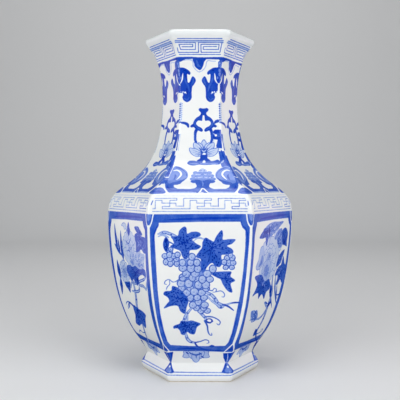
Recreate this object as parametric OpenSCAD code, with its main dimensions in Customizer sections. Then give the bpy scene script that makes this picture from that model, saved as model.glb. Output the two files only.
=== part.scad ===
// Six-sided porcelain vase, built the way slab-built hexagonal ware is made: six walls to each
// storey, mitred at the corners and luted together with slip, a lip ring at the mouth, a floor
// plate at the waist, and the beads of slip that fill every inside seam.
// Millimetres, +Z up, origin at the centre of the base, one flat side facing -Y.

/* [Overall] */
// Height from the table to the top of the lip
height = 360; // [320:5:400]
// Widest distance from the axis to a corner, at the top of the belly
belly_r = 101.2; // [90:0.2:112]
// Wall thickness, measured square to the surface
wall = 5; // [4:0.5:6]

/* [Mouth and neck] */
// Distance from the axis to a corner of the lip
mouth_r = 60.4; // [54:0.2:66]
// Distance from the axis to a corner at the slimmest part of the neck
neck_r = 41.6; // [38:0.2:46]
// Height of the lip ring
lip_h = 8; // [6:0.5:10]

/* [Foot] */
// Distance from the axis to a corner of the foot's flange
foot_r = 65; // [58:0.2:72]
// Distance from the axis to a corner of the waist above the foot
waist_r = 58.6; // [52:0.2:64]
// Height of the waist, where the foot walls end
waist_h = 19; // [16:0.5:22]
// Thickness of the floor plate that closes the body
floor_t = 6; // [5:0.5:8]

/* [Seams] */
// How far a bead of slip reaches along each wall from an inside corner
bead = 3.5; // [2.5:0.5:5]

/* [Quality] */
// Chords in each stretch of the wall's curve between two knots
chords = 3; // [2:1:4]

/* [Hidden] */
SIDES = ["front", "front_right", "back_right", "back", "back_left", "front_left"];

// The colours of the glazed body, the raw biscuit of the floor and the slip in the seams.
glaze_white = [0.93, 0.94, 0.95];
biscuit = [0.86, 0.83, 0.78];
slip_grey = [0.88, 0.87, 0.84];

half_side = 30;                  // half of a side's sector, in degrees
flat = cos(half_side);           // apothem of a hexagon of corner radius 1
shoulder_h = 0.5335 * height;    // where the neck walls stand on the belly walls
lip_z = height - lip_h;

// Knots of the outer outline from the foot to the lip: corner radius, height, and the direction
// of travel in degrees, where 0 points outwards and 90 straight up.
KNOTS_FOOT = [
    [foot_r - 3.2, 0, 42],
    [foot_r, 0.34 * waist_h, 90],
    [waist_r, waist_h, 108]
];
KNOTS_BELLY = [
    [waist_r, waist_h, 64],
    [0.716 * belly_r, 0.112 * height, 56],
    [0.875 * belly_r, 0.21 * height, 72],
    [0.96 * belly_r, 0.32 * height, 81.5],
    [belly_r, 0.46 * height, 90],
    [0.975 * belly_r, 0.514 * height, 116],
    [0.926 * belly_r, shoulder_h, 132]
];
KNOTS_NECK = [
    [0.926 * belly_r, shoulder_h, 132],
    [0.725 * belly_r, 0.578 * height, 140],
    [0.512 * belly_r, 0.6515 * height, 117],
    [neck_r + 3.5, 0.71 * height, 102],
    [neck_r, 0.81 * height, 90],
    [neck_r + 3.2, 0.907 * height, 76],
    [mouth_r - 7.6, 0.9605 * height, 53],
    [mouth_r - 2.3, lip_z, 56]
];
KNOTS_LIP = [
    [mouth_r - 2.3, lip_z, 56],
    [mouth_r, lip_z + 0.62 * lip_h, 90],
    [mouth_r - 2.2, height, 165]
];

// A point of the curve between knots a and b, at share t: a cubic whose handles lie along the
// directions of travel, a third of the chord long.
function knot_point(k) = [k[0], k[1]];
function travel(k) = [cos(k[2]), sin(k[2])];
function curve_point(a, b, t) =
    let (h = norm(knot_point(b) - knot_point(a)) / 3,
         p1 = knot_point(a) + h * travel(a),
         p2 = knot_point(b) - h * travel(b),
         u = 1 - t)
    u * u * u * knot_point(a) + 3 * u * u * t * p1 + 3 * u * t * t * p2 + t * t * t * knot_point(b);

// The outline through a list of knots, as corner radius against height.
function outline(knots) = [
    for (i = [0 : len(knots) - 2], j = [0 : chords - 1]) curve_point(knots[i], knots[i + 1], j / chords),
    knot_point(knots[len(knots) - 1])
];

// The same outline at the middle of a side, as distance from the axis against height.
function side_line(knots) = [for (p = outline(knots)) [flat * p[0], p[1]]];

// Each point of a line moved square to it by d, towards the axis. The ends keep their heights,
// and a point that the move takes past either end is left out.
function inward(line, d) =
    let (last = len(line) - 1)
    [
        for (i = [0 : last])
            let (a = line[max(i - 1, 0)],
                 b = line[min(i + 1, last)],
                 along = (b - a) / norm(b - a),
                 end = i == 0 || i == last,
                 moved = line[i] + (end ? [-d / max(along[1], 0.4), 0] : d * [-along[1], along[0]]))
            if (end || (moved[1] > line[0][1] + 0.5 && moved[1] < line[last][1] - 0.5))
                moved
    ];

function backwards(line) = [for (i = [len(line) - 1 : -1 : 0]) line[i]];

// Every side is an over-long extrusion cut to length by its own sector, so both only need to
// reach past the widest corner.
reach = 2 * belly_r;

// A solid sector of one side, 60 degrees wide, about +X.
module sector() {
    linear_extrude(height = 3 * height, center = true)
        polygon([[0, 0], [reach, -reach * tan(half_side)], [reach, reach * tan(half_side)]]);
}

// A section in the plane of distance and height, extruded along the side it belongs to.
module along_side(section) {
    rotate([90, 0, 0])
        linear_extrude(height = 2 * reach, center = true)
            polygon(section);
}

// One mitred slab: a section carried along one side and cut to that side's sector.
module slab(section) {
    intersection() {
        along_side(section);
        sector();
    }
}

// Turns side number i from +X to its own place. Side 0 faces -Y.
module face(i) {
    rotate([0, 0, 60 * i - 90]) children();
}

// A section carried round all six sides as one ring.
module ring(section) {
    union() {
        for (i = [0 : 5]) face(i) slab(section);
    }
}

function wall_section(knots) =
    let (line = side_line(knots)) concat(line, backwards(inward(line, wall)));

// The lip: the outline's top, rolled over to a rounded inner edge.
module lip_ring() {
    line = side_line(KNOTS_LIP);
    inner = inward(side_line(KNOTS_NECK), wall);
    inner_low = inner[len(inner) - 1];
    inner_high = [inner_low[0] + 1.6, height - 2.2];
    color(glaze_white)
        ring(concat(line, [[inner_high[0] + 1.4, height - 0.5], inner_high, inner_low]));
}

module neck_wall(i) {
    color(glaze_white) face(i) slab(wall_section(KNOTS_NECK));
}

module belly_wall(i) {
    color(glaze_white) face(i) slab(wall_section(KNOTS_BELLY));
}

// A foot wall is thicker at the flange, with a flat rim to stand on and a hollow behind it.
module foot_wall(i) {
    line = side_line(KNOTS_FOOT);
    inner_top = inward(side_line(KNOTS_BELLY), wall)[0];
    heel = [line[0][0] - 7, 0];
    inner = [inner_top, [heel[0] - 1, 0.6 * waist_h], heel];
    color(glaze_white) face(i) slab(concat(line, inner));
}

// The inner line of the belly, from the waist up.
BELLY_INNER = inward(side_line(KNOTS_BELLY), wall);

// Where a line crosses a height, by straight interpolation.
function at_height(line, z) = let (hits = [
    for (i = [0 : len(line) - 2])
        if (line[i][1] <= z && z < line[i + 1][1])
            let (t = (z - line[i][1]) / (line[i + 1][1] - line[i][1]))
            line[i][0] + t * (line[i + 1][0] - line[i][0])
]) hits[0];

// The stretch of a line between two heights, with its two ends put in.
function between(line, low, high) = concat(
    [[at_height(line, low), low]],
    [for (p = line) if (p[1] > low && p[1] < high) p],
    [[at_height(line, high), high]]
);

// A solid hexagonal plug whose sides follow a line.
module plug(line) {
    mirrored = concat(line, [for (p = backwards(line)) [-p[0], p[1]]]);
    intersection_for (i = [0 : 2]) rotate([0, 0, 60 * i - 30]) along_side(mirrored);
}

// The floor plate fills the body from wall to wall at the waist, and its edge leans with them.
floor_low = BELLY_INNER[0][1];
floor_high = floor_low + floor_t;
module floor_plate() {
    color(biscuit) plug(between(BELLY_INNER, floor_low, floor_high));
}

// The bead of slip in the angle between the floor and the walls, with a blunt upper edge.
module floor_slip_bead() {
    edge = between(BELLY_INNER, floor_high, floor_high + bead);
    foot = [edge[0][0] - bead, floor_high];
    rise = edge[len(edge) - 1] - [0.4, 0] - foot;
    color(slip_grey)
        difference() {
            plug(edge);
            plug([foot - 0.3 * rise, foot + 1.3 * rise]);
        }
}

// The bead of slip that covers the joint between the neck walls and the belly walls.
NECK_INNER = inward(side_line(KNOTS_NECK), wall);
module shoulder_slip_bead() {
    below = between(BELLY_INNER, shoulder_h - bead, shoulder_h - 0.01);
    above = between(NECK_INNER, shoulder_h, shoulder_h + bead);
    crest = [min(below[0][0], above[0][0]) - 0.7 * bead, shoulder_h - 0.3 * bead];
    color(slip_grey)
        ring(concat(below, above, [crest]));
}

// Beads of slip up the six inside corners, between two heights of an inner line. Each is the
// corner of the hollow, cut off by a surface that keeps the same distance from the corner.
module corner_slip(line, low, high) {
    edge = between(line, low, high);
    hollow = concat([[0, low]], edge, [[0, high]]);
    corner = [for (p = edge) [p[0] / flat, p[1]]];
    cut = [for (p = backwards(corner)) [p[0] - bead * sin(half_side), p[1]]];
    past = [for (p = corner) [p[0] + 1, p[1]]];
    for (i = [0 : 5]) rotate([0, 0, 60 * i])
        intersection() {
            rotate([0, 0, half_side]) along_side(hollow);
            rotate([0, 0, -half_side]) along_side(hollow);
            along_side(concat(past, cut));
        }
}

module neck_corner_slip() {
    color(slip_grey) corner_slip(NECK_INNER, shoulder_h + bead + 0.5, lip_z - 6);
}

module belly_corner_slip() {
    color(slip_grey) corner_slip(BELLY_INNER, floor_high + bead + 0.5, shoulder_h - bead - 0.5);
}

lip_ring();
for (i = [0 : 5]) {
    neck_wall(i);
    belly_wall(i);
    foot_wall(i);
}
floor_plate();
shoulder_slip_bead();
floor_slip_bead();
neck_corner_slip();
belly_corner_slip();
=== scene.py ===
"""Dresses the six-sided porcelain vase: rounded, glazed walls painted in cobalt blue.

Every size here is in millimetres until a mesh is made, and the frame's own axes are used:
+Z up, the front side facing -Y.
"""

import logging
import math
from collections.abc import Sequence
from dataclasses import dataclass, field
from enum import Enum

import bpy
import numpy as np
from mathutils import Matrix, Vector


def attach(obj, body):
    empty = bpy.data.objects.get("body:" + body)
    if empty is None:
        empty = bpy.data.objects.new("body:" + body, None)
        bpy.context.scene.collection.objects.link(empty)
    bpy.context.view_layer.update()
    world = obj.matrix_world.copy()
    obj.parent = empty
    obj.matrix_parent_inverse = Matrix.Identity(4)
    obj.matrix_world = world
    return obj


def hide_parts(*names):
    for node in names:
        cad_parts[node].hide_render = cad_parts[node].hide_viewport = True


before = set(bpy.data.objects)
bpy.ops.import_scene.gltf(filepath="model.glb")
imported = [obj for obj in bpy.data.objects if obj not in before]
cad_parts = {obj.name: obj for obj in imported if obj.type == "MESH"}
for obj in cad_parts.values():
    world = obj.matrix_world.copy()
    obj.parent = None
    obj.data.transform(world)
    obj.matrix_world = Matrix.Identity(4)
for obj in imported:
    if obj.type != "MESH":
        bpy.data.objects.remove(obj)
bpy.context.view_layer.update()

logging.basicConfig(level=logging.INFO, format="%(message)s")
log = logging.getLogger("vase")

MM = 0.001
FLAT = math.cos(math.radians(30))  # apothem of a hexagon of corner radius 1
SLOPE = math.tan(math.radians(30))  # half a side's length, on an apothem of 1
CLIP = 2.5  # painting distances are kept within this many millimetres

Points = Sequence[tuple[float, ...]] | np.ndarray
Triple = tuple[float, float, float]

HEIGHT = 360.0
BELLY_R = 101.2
MOUTH_R = 60.4
NECK_R = 41.6
LIP_H = 8.0
FOOT_R = 65.0
WAIST_R = 58.6
WAIST_H = 19.0
WALL = 5.0
RIM_W = 7.0
INNER_ARRIS = 4.0
SHOULDER_H = 0.5335 * HEIGHT
LIP_Z = HEIGHT - LIP_H


class Side(Enum):
    """The six sides, counted anticlockwise from the front as seen from above."""

    FRONT = 0
    FRONT_RIGHT = 1
    BACK_RIGHT = 2
    BACK = 3
    BACK_LEFT = 4
    FRONT_LEFT = 5

    @property
    def node(self) -> str:
        """The ending that this side's nodes have."""
        return self.name.lower()

    def directions(self) -> tuple[np.ndarray, np.ndarray]:
        """The side's outward direction, and the one to the right for who faces it.

        Returns:
            Both as unit vectors.
        """
        turn = math.radians(60 * self.value - 90)
        out = np.array([math.cos(turn), math.sin(turn)])
        return out, np.array([-out[1], out[0]])


class Tone(Enum):
    """Strengths of the cobalt wash, weakest first."""

    FAINT = "brush_faint"
    PALE = "brush_pale"
    SOFT = "brush_soft"
    MID = "brush_mid"
    DEEP = "brush_deep"
    INK = "brush_ink"


FAINT, PALE, SOFT, MID, DEEP, INK = Tone

# How far a bare seam line strays to the right of its arris at the top and at the bottom, by the
# side on the arris's right, and how far a panel's left and right edges bow to the right, by side.
# Both are uneven, as handwork is. The sides that aren't named have the usual ones.
STRAYS = {Side.FRONT: (0.5, -1.6), Side.FRONT_RIGHT: (-0.7, -2.9)}
USUAL_STRAY = (-1.0, -1.0)
BOWS = {Side.FRONT: (0.0, 2.5), Side.FRONT_RIGHT: (-1.2, 0.0)}
USUAL_BOW = (0.0, 0.0)


# ---------------------------------------------------------------- the vase's shape


def arris_radius(z: np.ndarray) -> np.ndarray:
    """Radius of the rounded upright edges against height, straight between a few heights."""
    return np.interp(z, [0, 19, 60, 185, 230, 300, 352, 360], [5.0, 4.0, 2.6, 3.0, 4.0, 5.0, 6, 6])


@dataclass(frozen=True)
class Outline:
    """A stretch of the vase's outline.

    Attributes:
        knots: corner radius, height, and direction of travel in degrees, 0 outwards and 90 up.
    """

    knots: tuple[tuple[float, float, float], ...]

    def trace(self, per_span: int = 120) -> np.ndarray:
        """Follows the outline at the middle of a side.

        Between two knots it is a cubic whose handles lie along the directions of travel, a third
        of the chord long. The corner radius times the cosine of 30 degrees is the apothem.

        Args:
            per_span: points between two knots.
        Returns:
            Rows of apothem and height.
        """
        t = np.linspace(0, 1, per_span + 1)[:, None]
        spans = []
        for (ra, za, da), (rb, zb, db) in zip(self.knots, self.knots[1:]):
            a, b = np.array([ra, za]), np.array([rb, zb])
            third = np.linalg.norm(b - a) / 3
            ta, tb = math.radians(da), math.radians(db)
            p = a + third * np.array([math.cos(ta), math.sin(ta)])
            q = b - third * np.array([math.cos(tb), math.sin(tb)])
            u = 1 - t
            span = u**3 * a + 3 * u * u * t * p + 3 * u * t * t * q + t**3 * b
            spans.append(span if not spans else span[1:])
        return np.concatenate(spans) * np.array([FLAT, 1.0])

    def inner(self, thickness: float) -> np.ndarray:
        """The outline moved in square to itself, cut level with the outline's own ends.

        Args:
            thickness: how far it is moved, in millimetres.
        Returns:
            Rows of apothem and height.
        """
        least_rise, clear = 0.4, 0.5  # the flattest lean that an end may have, and the gap kept from it
        line = self.trace()
        along = np.gradient(line, axis=0)
        along /= np.linalg.norm(along, axis=1, keepdims=True)
        moved = line + thickness * np.stack([-along[:, 1], along[:, 0]], 1)
        low, high = line[0], line[-1]
        first = low - [thickness / max(along[0, 1], least_rise), 0]
        last = high - [thickness / max(along[-1, 1], least_rise), 0]
        kept = moved[(moved[:, 1] > low[1] + clear) & (moved[:, 1] < high[1] - clear)]
        return np.concatenate([[first], kept, [last]])


def measure(line: np.ndarray) -> np.ndarray:
    """Distance travelled along a line at each of its points."""
    return np.concatenate([[0], np.cumsum(np.linalg.norm(np.diff(line, axis=0), axis=1))])


def resample(line: np.ndarray, at: np.ndarray) -> np.ndarray:
    """Points of a line at given distances travelled along it."""
    gone = measure(line)
    return np.stack([np.interp(at, gone, line[:, k]) for k in range(line.shape[1])], 1)


FOOT = Outline(
    ((FOOT_R - 3.2, 0, 42), (FOOT_R, 0.34 * WAIST_H, 90), (WAIST_R, WAIST_H, 108))
)
BELLY = Outline(
    (
        (WAIST_R, WAIST_H, 64),
        (0.716 * BELLY_R, 0.112 * HEIGHT, 56),
        (0.875 * BELLY_R, 0.21 * HEIGHT, 72),
        (0.96 * BELLY_R, 0.32 * HEIGHT, 81.5),
        (BELLY_R, 0.46 * HEIGHT, 90),
        (0.975 * BELLY_R, 0.514 * HEIGHT, 116),
        (0.926 * BELLY_R, SHOULDER_H, 132),
    )
)
NECK = Outline(
    (
        (0.926 * BELLY_R, SHOULDER_H, 132),
        (0.725 * BELLY_R, 0.578 * HEIGHT, 140),
        (0.512 * BELLY_R, 0.6515 * HEIGHT, 117),
        (NECK_R + 3.5, 0.71 * HEIGHT, 102),
        (NECK_R, 0.81 * HEIGHT, 90),
        (NECK_R + 3.2, 0.907 * HEIGHT, 76),
        (MOUTH_R - 7.6, 0.9605 * HEIGHT, 53),
        (MOUTH_R - 2.3, LIP_Z, 56),
    )
)
LIP = Outline(
    (
        (MOUTH_R - 2.3, LIP_Z, 56),
        (MOUTH_R, LIP_Z + 0.62 * LIP_H, 90),
        (MOUTH_R - 2.2, HEIGHT, 165),
    )
)


# ---------------------------------------------------------------- brushwork


def flowing(points: np.ndarray, closed: bool = False, per: int = 7) -> np.ndarray:
    """A smooth line through points: between two of them, a cubic whose slope at each point is
    half the step from the point before to the point after (Catmull and Rom's rule).

    Args:
        points: rows of any width, such as x, s and half width.
        closed: whether the last point runs on to the first.
        per: steps between two points.
    Returns:
        The line's points, with the last one repeated at the end of a closed line.
    """
    if closed:
        ring = np.concatenate([points[-1:], points, points[:2]])
    else:
        ring = np.concatenate([2 * points[:1] - points[1:2], points, 2 * points[-1:] - points[-2:-1]])
    a, b, c, d = ring[:-3, None], ring[1:-2, None], ring[2:-1, None], ring[3:, None]
    t = (np.arange(per) / per)[None, :, None]
    line = 0.5 * (
        2 * b + (c - a) * t + (2 * a - 5 * b + 4 * c - d) * t**2 + (3 * b - a - 3 * c + d) * t**3
    )
    line = line.reshape(-1, points.shape[1])
    return np.concatenate([line, ring[-2:-1]])


def to_segment(x: np.ndarray, s: np.ndarray, p: np.ndarray, q: np.ndarray) -> tuple[np.ndarray, np.ndarray]:
    """Distance from each point to the segment from p to q, and how far along it the nearest is.

    Args:
        x: each point's place across.
        s: its place up.
        p: the segment's start.
        q: its end.
    Returns:
        The distances, and the shares of the segment's length.
    """
    ex, es = q[0] - p[0], q[1] - p[1]
    along = ((x - p[0]) * ex + (s - p[1]) * es) / max(ex * ex + es * es, 1e-9)
    along = np.clip(along, 0, 1)
    return np.hypot(x - p[0] - along * ex, s - p[1] - along * es), along


@dataclass
class Painting:
    """Blue brushwork on one side, as a distance to each tone's nearest edge, negative inside.

    Attributes:
        x: distance across the side from its centre line, at each vertex of the wall's grid.
        s: distance up the side's outline, at each vertex.
        half: half the side's width, at each vertex.
        tones: for each tone, the distance to its nearest edge, at each vertex.
    """

    x: np.ndarray
    s: np.ndarray
    half: np.ndarray
    tones: dict[Tone, np.ndarray] = field(default_factory=dict)

    def __post_init__(self) -> None:
        """Starts on a bare wall."""
        for tone in Tone:
            self.tones.setdefault(tone, np.full(self.x.shape, CLIP))

    def neighbour(self, way: int) -> "Painting":
        """The same wall, measured from the middle of the next side: 1 on the right, -1 on the left."""
        return Painting(self.x - way * 2 * self.half, self.s, self.half, self.tones)

    def from_arris(self, way: int) -> "Painting":
        """The same wall, measured across from its right (1) or left (-1) arris instead."""
        return Painting(self.x - way * self.half, self.s, self.half, self.tones)

    def window(self, low: np.ndarray, high: np.ndarray) -> tuple[slice, slice]:
        """The part of the grid that a shape can change.

        Args:
            low: the shape's lowest x and s.
            high: its highest x and s.
        Returns:
            Slices of rows and columns, with the shape's surroundings.
        """
        rise = self.s[:, 0]
        i0, i1 = np.searchsorted(rise, [low[1] - CLIP, high[1] + CLIP])
        if i1 <= i0:
            return slice(0, 0), slice(0, 0)
        span = self.x[i0:i1]
        hit = (span.max(0) >= low[0] - CLIP) & (span.min(0) <= high[0] + CLIP)
        found = np.flatnonzero(hit)
        if not len(found):
            return slice(0, 0), slice(0, 0)
        return slice(i0, i1), slice(found[0], found[-1] + 1)

    def lay(self, tone: Tone | None, part: tuple[slice, slice], edge: np.ndarray) -> None:
        """Lays a tone on the part, over whatever is there. None scrapes back to bare glaze.

        Every weaker tone is laid with it, so that a stroke worked into a darker wash has no bare
        edge, and every stronger tone is wiped away from under it.

        Args:
            tone: the wash, or None to scrape back to bare glaze.
            part: the rows and columns to change.
            edge: the distance to the shape's edge on them.
        """
        order = list(Tone)
        reach = -1 if tone is None else order.index(tone)
        for rank, other in enumerate(order):
            held = self.tones[other][part]
            if rank <= reach:
                np.minimum(held, edge, out=held)
            else:
                np.maximum(held, -edge, out=held)


@dataclass(frozen=True)
class Brush:
    """Paints shapes on a wall, each placed by the brush's own flip, turn and shift.

    Attributes:
        wall: the painting that it works on.
        x, s: how far it is shifted across and up.
        turn: how far it is turned, in degrees anticlockwise.
        flip: -1 for a mirror image.
    """

    wall: Painting
    x: float = 0.0
    s: float = 0.0
    turn: float = 0.0
    flip: int = 1

    def at(self, x: float, s: float, turn: float = 0, flip: int = 1) -> "Brush":
        """The brush moved on within its own placing."""
        (px, ps), *_ = self.place([(x, s)])
        return Brush(self.wall, px, ps, self.turn + self.flip * turn, self.flip * flip)

    def place(self, points: Points) -> np.ndarray:
        """Turns a motif's own points into the wall's: flipped, turned and shifted.

        Args:
            points: rows that start with x and s.
        Returns:
            The same rows in the wall's own x and s.
        """
        p = np.array(points, float)
        a = math.radians(self.turn)
        px, ps = self.flip * p[:, 0], p[:, 1].copy()
        p[:, 0] = self.x + px * math.cos(a) - ps * math.sin(a)
        p[:, 1] = self.s + px * math.sin(a) + ps * math.cos(a)
        return p

    def line(self, tone: Tone | None, points: Points, width: float | None = None, smooth: bool = True,
             closed: bool = False, within: np.ndarray | None = None) -> None:
        """A brush stroke.

        Args:
            tone: the wash, or None to scrape a line bare.
            points: x and s, and in a third place the width there unless width is given.
            width: one width for the whole stroke.
            smooth: whether it flows through its points or runs straight between them.
            closed: whether it returns to its start.
            within: the edge of a patch that the stroke is kept inside, if any.
        """
        inset = 0.5
        p = np.array(points, float)
        if width is not None:
            p = np.column_stack([p[:, :2], np.full(len(p), float(width))])
        p[:, 2] *= 0.5
        p[:, :2] = self.place(p[:, :2])
        if smooth:
            p = flowing(p, closed)
        elif closed:
            p = np.concatenate([p, p[:1]])
        reach = p[:, 2].max()
        part = self.wall.window(p[:, :2].min(0) - reach, p[:, :2].max(0) + reach)
        x, s = self.wall.x[part], self.wall.s[part]
        if not x.size:
            return
        edge = np.full(x.shape, CLIP)
        for a, b in zip(p, p[1:]):
            off, along = to_segment(x, s, a, b)
            np.minimum(edge, off - (a[2] + along * (b[2] - a[2])), out=edge)
        if within is not None:
            np.maximum(edge, within[part] + inset, out=edge)
        self.wall.lay(tone, part, edge)

    def rule(self, tone: Tone | None, points: Points, width: float | None = None) -> None:
        """A stroke that runs straight from point to point."""
        self.line(tone, points, width, smooth=False)

    def patch(self, tone: Tone | None, points: Points, smooth: bool = True) -> np.ndarray:
        """A filled area inside a closed outline, signed by counting the edges a level line crosses.

        Args:
            tone: the wash, or None to scrape the area bare.
            points: x and s of the points round it.
            smooth: whether the outline flows through them or runs straight between them.
        Returns:
            The distance to its edge over the whole wall, negative inside.
        """
        p = self.place(points)
        p = flowing(p, True, 5) if smooth else np.concatenate([p, p[:1]])
        part = self.wall.window(p.min(0), p.max(0))
        x, s = self.wall.x[part], self.wall.s[part]
        whole = np.full(self.wall.x.shape, CLIP)
        if not x.size:
            return whole
        edge = np.full(x.shape, CLIP)
        inside = np.zeros(x.shape, bool)
        for a, b in zip(p, p[1:]):
            np.minimum(edge, to_segment(x, s, a, b)[0], out=edge)
            if a[1] != b[1]:
                crosses = (a[1] > s) != (b[1] > s)
                inside ^= crosses & (x < a[0] + (s - a[1]) * (b[0] - a[0]) / (b[1] - a[1]))
        whole[part] = np.where(inside, -edge, edge)
        self.wall.lay(tone, part, whole[part])
        return whole

    def disc(self, tone: Tone | None, x: float, s: float, r: float, tall: float = 1.0) -> None:
        """A round or oval dab: the distance is the oval's own radius function, scaled back.

        Args:
            tone: the wash, or None to scrape back to bare glaze.
            x: its middle, across.
            s: its middle, up.
            r: its radius across.
            tall: its height for a width of 1.
        """
        (cx, cs), *_ = self.place([(x, s)])
        part = self.wall.window(np.array([cx - r, cs - r * tall]), np.array([cx + r, cs + r * tall]))
        away = np.hypot(self.wall.x[part] - cx, (self.wall.s[part] - cs) / tall)
        self.wall.lay(tone, part, (away - r) * min(1.0, tall))

    def ring(self, tone: Tone, x: float, s: float, r: float, width: float, tall: float = 1.0) -> None:
        """The outline of a round or oval dab.

        Args:
            tone: the wash.
            x: its middle, across.
            s: its middle, up.
            r: its radius across.
            width: the line's width.
            tall: its height for a width of 1.
        """
        (cx, cs), *_ = self.place([(x, s)])
        w = 0.5 * width
        grow = r + w
        part = self.wall.window(np.array([cx - grow, cs - grow * tall]), np.array([cx + grow,
            cs + grow * tall]))
        away = np.hypot(self.wall.x[part] - cx, (self.wall.s[part] - cs) / tall)
        self.wall.lay(tone, part, np.abs(away - r) - w)


# ---------------------------------------------------------------- walls


@dataclass(frozen=True)
class Columns:
    """How a side's grid is divided across: a flat stretch, and an arc round each arris.

    Attributes:
        flat: steps across the flat stretch.
        arc: steps round each half arris.
    """

    flat: int
    arc: int = 5

    def across(self) -> tuple[np.ndarray, np.ndarray]:
        """Where each column stands: a share of the flat stretch, and an angle round the arris.

        The outermost step is hair-thin, so that the shading at the mitre is the arris's own.

        Returns:
            The share and the angle of each column.
        """
        u = np.linspace(-1, 1, self.flat + 1)
        turn = np.append(np.linspace(0, math.radians(29.7), self.arc)[1:], math.radians(30))
        share = np.concatenate([-np.ones(self.arc), u, np.ones(self.arc)])
        angle = np.concatenate([-turn[::-1], np.zeros(len(u)), turn])
        return share, angle


def side_grid(line: np.ndarray, columns: Columns, radius: np.ndarray) -> tuple[np.ndarray, ...]:
    """A side's surface: its outline carried across it and round half an arris at each end.

    On the flat stretch a point stands at the outline's apothem. Round an arris it stands on a
    circle of the given radius, tangent to this side and the next, up to the mitre.

    Args:
        line: apothem and height of each row.
        columns: how the side is divided across.
        radius: the arris radius of each row.
    Returns:
        Distances outwards and to the right, heights, and the painter's x, each on the grid.
    """
    share, angle = columns.across()
    a, z, r = line[:, :1], line[:, 1:], radius[:, None]
    half, flat = a * SLOPE, (a - r) * SLOPE
    bend = np.abs(angle)[None]
    out = np.where(bend > 0, a - r + r * np.cos(bend), a)
    right = np.where(bend > 0, np.sign(share) * (flat + r * np.sin(bend)), share * flat)
    x = np.where(bend > 0, np.sign(share) * (flat + (half - flat) * bend / math.radians(30)), share * flat)
    return out, right, np.broadcast_to(z, out.shape), x


def placed(side: Side, out: np.ndarray, right: np.ndarray, z: np.ndarray) -> np.ndarray:
    """A side's points in the frame, in metres, one row each.

    Args:
        side: which side.
        out: distances outwards.
        right: distances to the right.
        z: heights.
    Returns:
        The points.
    """
    n, t = side.directions()
    xy = out[..., None] * n + right[..., None] * t
    return np.concatenate([xy, z[..., None]], -1).reshape(-1, 3) * MM


def grid_faces(rows: int, cols: int, first: int = 0) -> np.ndarray:
    """Faces of a grid of vertices, anticlockwise where columns run right and rows run up."""
    v = first + np.arange(rows * cols).reshape(rows, cols)
    return np.stack([v[:-1, :-1], v[:-1, 1:], v[1:, 1:], v[1:, :-1]], -1).reshape(-1, 4)


@dataclass
class Shell:
    """A mesh in the making: vertices, and faces with as many corners as they need.

    Attributes:
        points: the vertices, in metres.
        quads: the faces with four corners.
        smooth: whether each of those is shaded smooth.
        rims: the flat faces, with any number of corners.
    """

    points: np.ndarray
    quads: np.ndarray
    smooth: np.ndarray
    rims: list[np.ndarray] = field(default_factory=list)

    def build(self, name: str) -> bpy.types.Object:
        """Makes the Blender object, with smooth walls and flat rims.

        Args:
            name: the piece's name.
        Returns:
            The object, linked to the scene.
        """
        mesh = bpy.data.meshes.new(name)
        corners = np.concatenate([self.quads.ravel(), *self.rims]).astype(np.int32)
        sizes = np.array([4] * len(self.quads) + [len(r) for r in self.rims])
        starts = np.concatenate([[0], np.cumsum(sizes)[:-1]]).astype(np.int32)
        mesh.vertices.add(len(self.points))
        mesh.vertices.foreach_set("co", self.points.astype(np.float32).ravel())
        mesh.loops.add(len(corners))
        mesh.loops.foreach_set("vertex_index", corners)
        mesh.polygons.add(len(sizes))
        mesh.polygons.foreach_set("loop_start", starts)
        soft = np.concatenate([self.smooth, np.zeros(len(self.rims), bool)])
        mesh.polygons.foreach_set("use_smooth", soft)
        mesh.update(calc_edges=True)
        mesh.validate()
        made = bpy.data.objects.new(name, mesh)
        bpy.context.scene.collection.objects.link(made)
        return made


def point_value(piece: bpy.types.Object, name: str, values: np.ndarray) -> None:
    """Keeps a number at each vertex of a piece, for its material to read."""
    layer = piece.data.attributes.new(name, "FLOAT", "POINT")
    layer.data.foreach_set("value", values.astype(np.float32).ravel())


def lay_out(piece: bpy.types.Object, uv: np.ndarray) -> None:
    """Gives a piece its texture layout, one place for each vertex.

    Args:
        piece: the piece.
        uv: the place of each vertex on the sheet.
    """
    layer = piece.data.uv_layers.new(name="OFBake")
    order = np.empty(len(piece.data.loops), np.int32)
    piece.data.loops.foreach_get("vertex_index", order)
    layer.data.foreach_set("uv", uv[order].astype(np.float32).ravel())


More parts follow.
